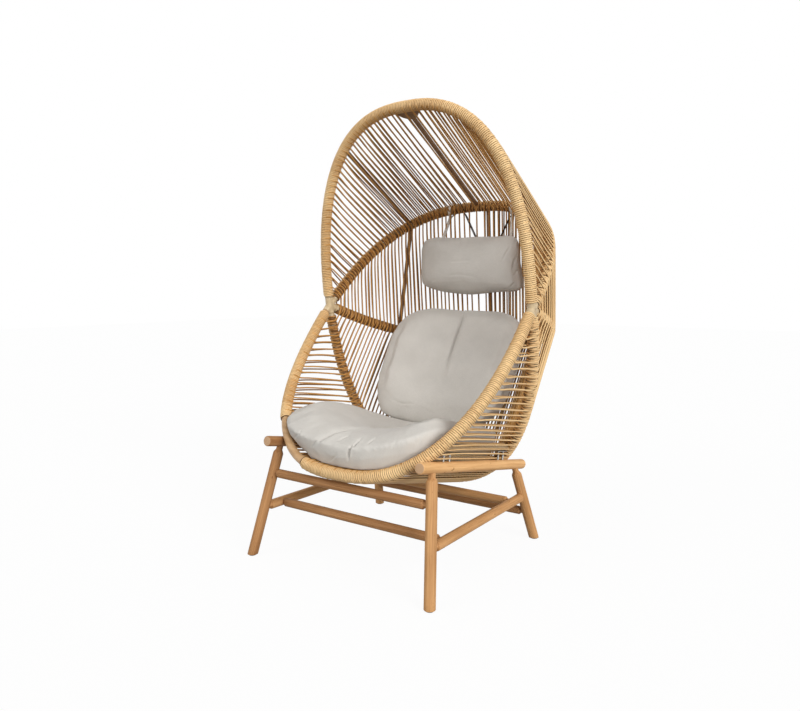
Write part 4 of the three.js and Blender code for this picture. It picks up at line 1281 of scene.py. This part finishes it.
def tie_path(centre, down, side, gap, opening, loop_steps, tail, tail_steps):
    """A tie that comes up, turns round the hoop and goes down again; gap sets its two tails apart."""
    loop = circle(centre, TIE_LOOP_R, np.linspace(opening, 2 * np.pi - opening, loop_steps), down, side)
    run = centre + down * np.linspace(*tail, tail_steps)[:, None]
    path = np.concatenate([(run - gap)[::-1], loop[::-1], run + gap])
    return np.concatenate([path[:1], 0.25 * path[:-2] + 0.5 * path[1:-1] + 0.25 * path[2:], path[-1:]])


def tie_course(x, to_x):
    """Where a tie hangs from the hoop, its direction and the distance to the pillow."""
    centre = HOOPS[UPPER].over(x)
    target = np.array([to_x, PILLOW[1], PILLOW[2]])
    return centre, unit(target - centre), float(np.linalg.norm(target - centre))


for side, course in STRAPS.items():
    centre, down, far = tie_course(*course)
    across = unit(np.cross(X_AXIS, down))
    path = tie_path(centre, down, across, across * 0.0014, 0.30, 40, (0.03, far - 0.075), 14)
    facing = np.cross(X_AXIS, unit(np.gradient(path, axis=0)))
    strap = Mesher().tubes(path, STRAP_HALF_WIDTH, STRAP_HALF_HEIGHT, 12, facing=facing, squareness=0.45)
    node = f"pillow_tie_{side}"
    strap.build(f"{node}_strap", TIE_CLOTH, "tied_head_pillow", "tie_cloth", [node])

for side, course in CORDS.items():
    centre, down, far = tie_course(*course)
    aside = unit(np.cross(HOOPS[UPPER].normal, down))
    across = unit(np.cross(aside, down))
    path = tie_path(centre, down, across, aside * 0.002, 0.25, 36, (0.034, far - 0.072), 12)
    cord = Mesher().tubes(path, TIE_CORD_R, tone=0.3)
    cord.build(f"pillow_cord_{side}", DARK_CORD, "tied_head_pillow", "tie_cloth")


# The stage: a white floor, a white surround and two soft suns.

def seen_directly(nodes):
    """1 for rays from the camera, a reflection or a clear surface, and 0 for all others."""
    ray = nodes.add("ShaderNodeLightPath").outputs
    mirrored = nodes.maths("MAXIMUM", ray["Is Glossy Ray"], ray["Is Transmission Ray"])
    return nodes.maths("MAXIMUM", ray["Is Camera Ray"], mirrored)


def floor_material(glow_strength, glow_share):
    """A grey floor for the light that it throws back, which glows white where it is seen."""
    n = new_look("floor_white")
    n.surface(colour=(0.30, 0.30, 0.30, 1), roughness=0.9, specular=0.0)
    glow = n.add("ShaderNodeEmission", {"Color": (1, 1, 1, 1), "Strength": glow_strength})
    share = n.maths("MULTIPLY", seen_directly(n), glow_share)
    blend = n.add("ShaderNodeMixShader", {0: share, 1: n.shader.outputs[0], 2: glow.outputs[0]})
    n.feed(n.tree.nodes["Material Output"].inputs["Surface"], blend.outputs[0])
    return n.owner


def sun(name, direction, strength, softness):
    lamp = show(bpy.data.objects.new(name, bpy.data.lights.new(name, "SUN")))
    lamp.data.energy = strength
    lamp.data.angle = math.radians(softness)
    lamp.rotation_euler = (-Vector(direction)).to_track_quat("-Z", "Y").to_euler()


FLOOR_REACH = 14
floor_mesh = bpy.data.meshes.new("floor")
floor_corners = [(x * FLOOR_REACH, y * FLOOR_REACH, 0) for x, y in ((-1, -1), (1, -1), (1, 1), (-1, 1))]
floor_mesh.from_pydata(floor_corners, [], [(0, 1, 2, 3)])
floor_mesh.materials.append(floor_material(1.15, 0.82))
floor = show(bpy.data.objects.new("floor", floor_mesh))

AMBIENT = 0.43
bpy.context.scene.world = bpy.data.worlds.new("studio")
sky = Nodes(bpy.context.scene.world)
background = sky.tree.nodes["Background"]
background.inputs["Color"].default_value = (1, 1, 1, 1)
brightness = sky.maths("ADD", sky.maths("MULTIPLY", seen_directly(sky), 1 - AMBIENT), AMBIENT)
sky.feed(background.inputs["Strength"], brightness)
sun("key_light", (1.0, -0.36, 0.42), 2.4, 34)
sun("front_light", (-0.42, -1.0, 0.48), 1.0, 42)
bpy.context.scene.view_settings.view_transform = "Standard"
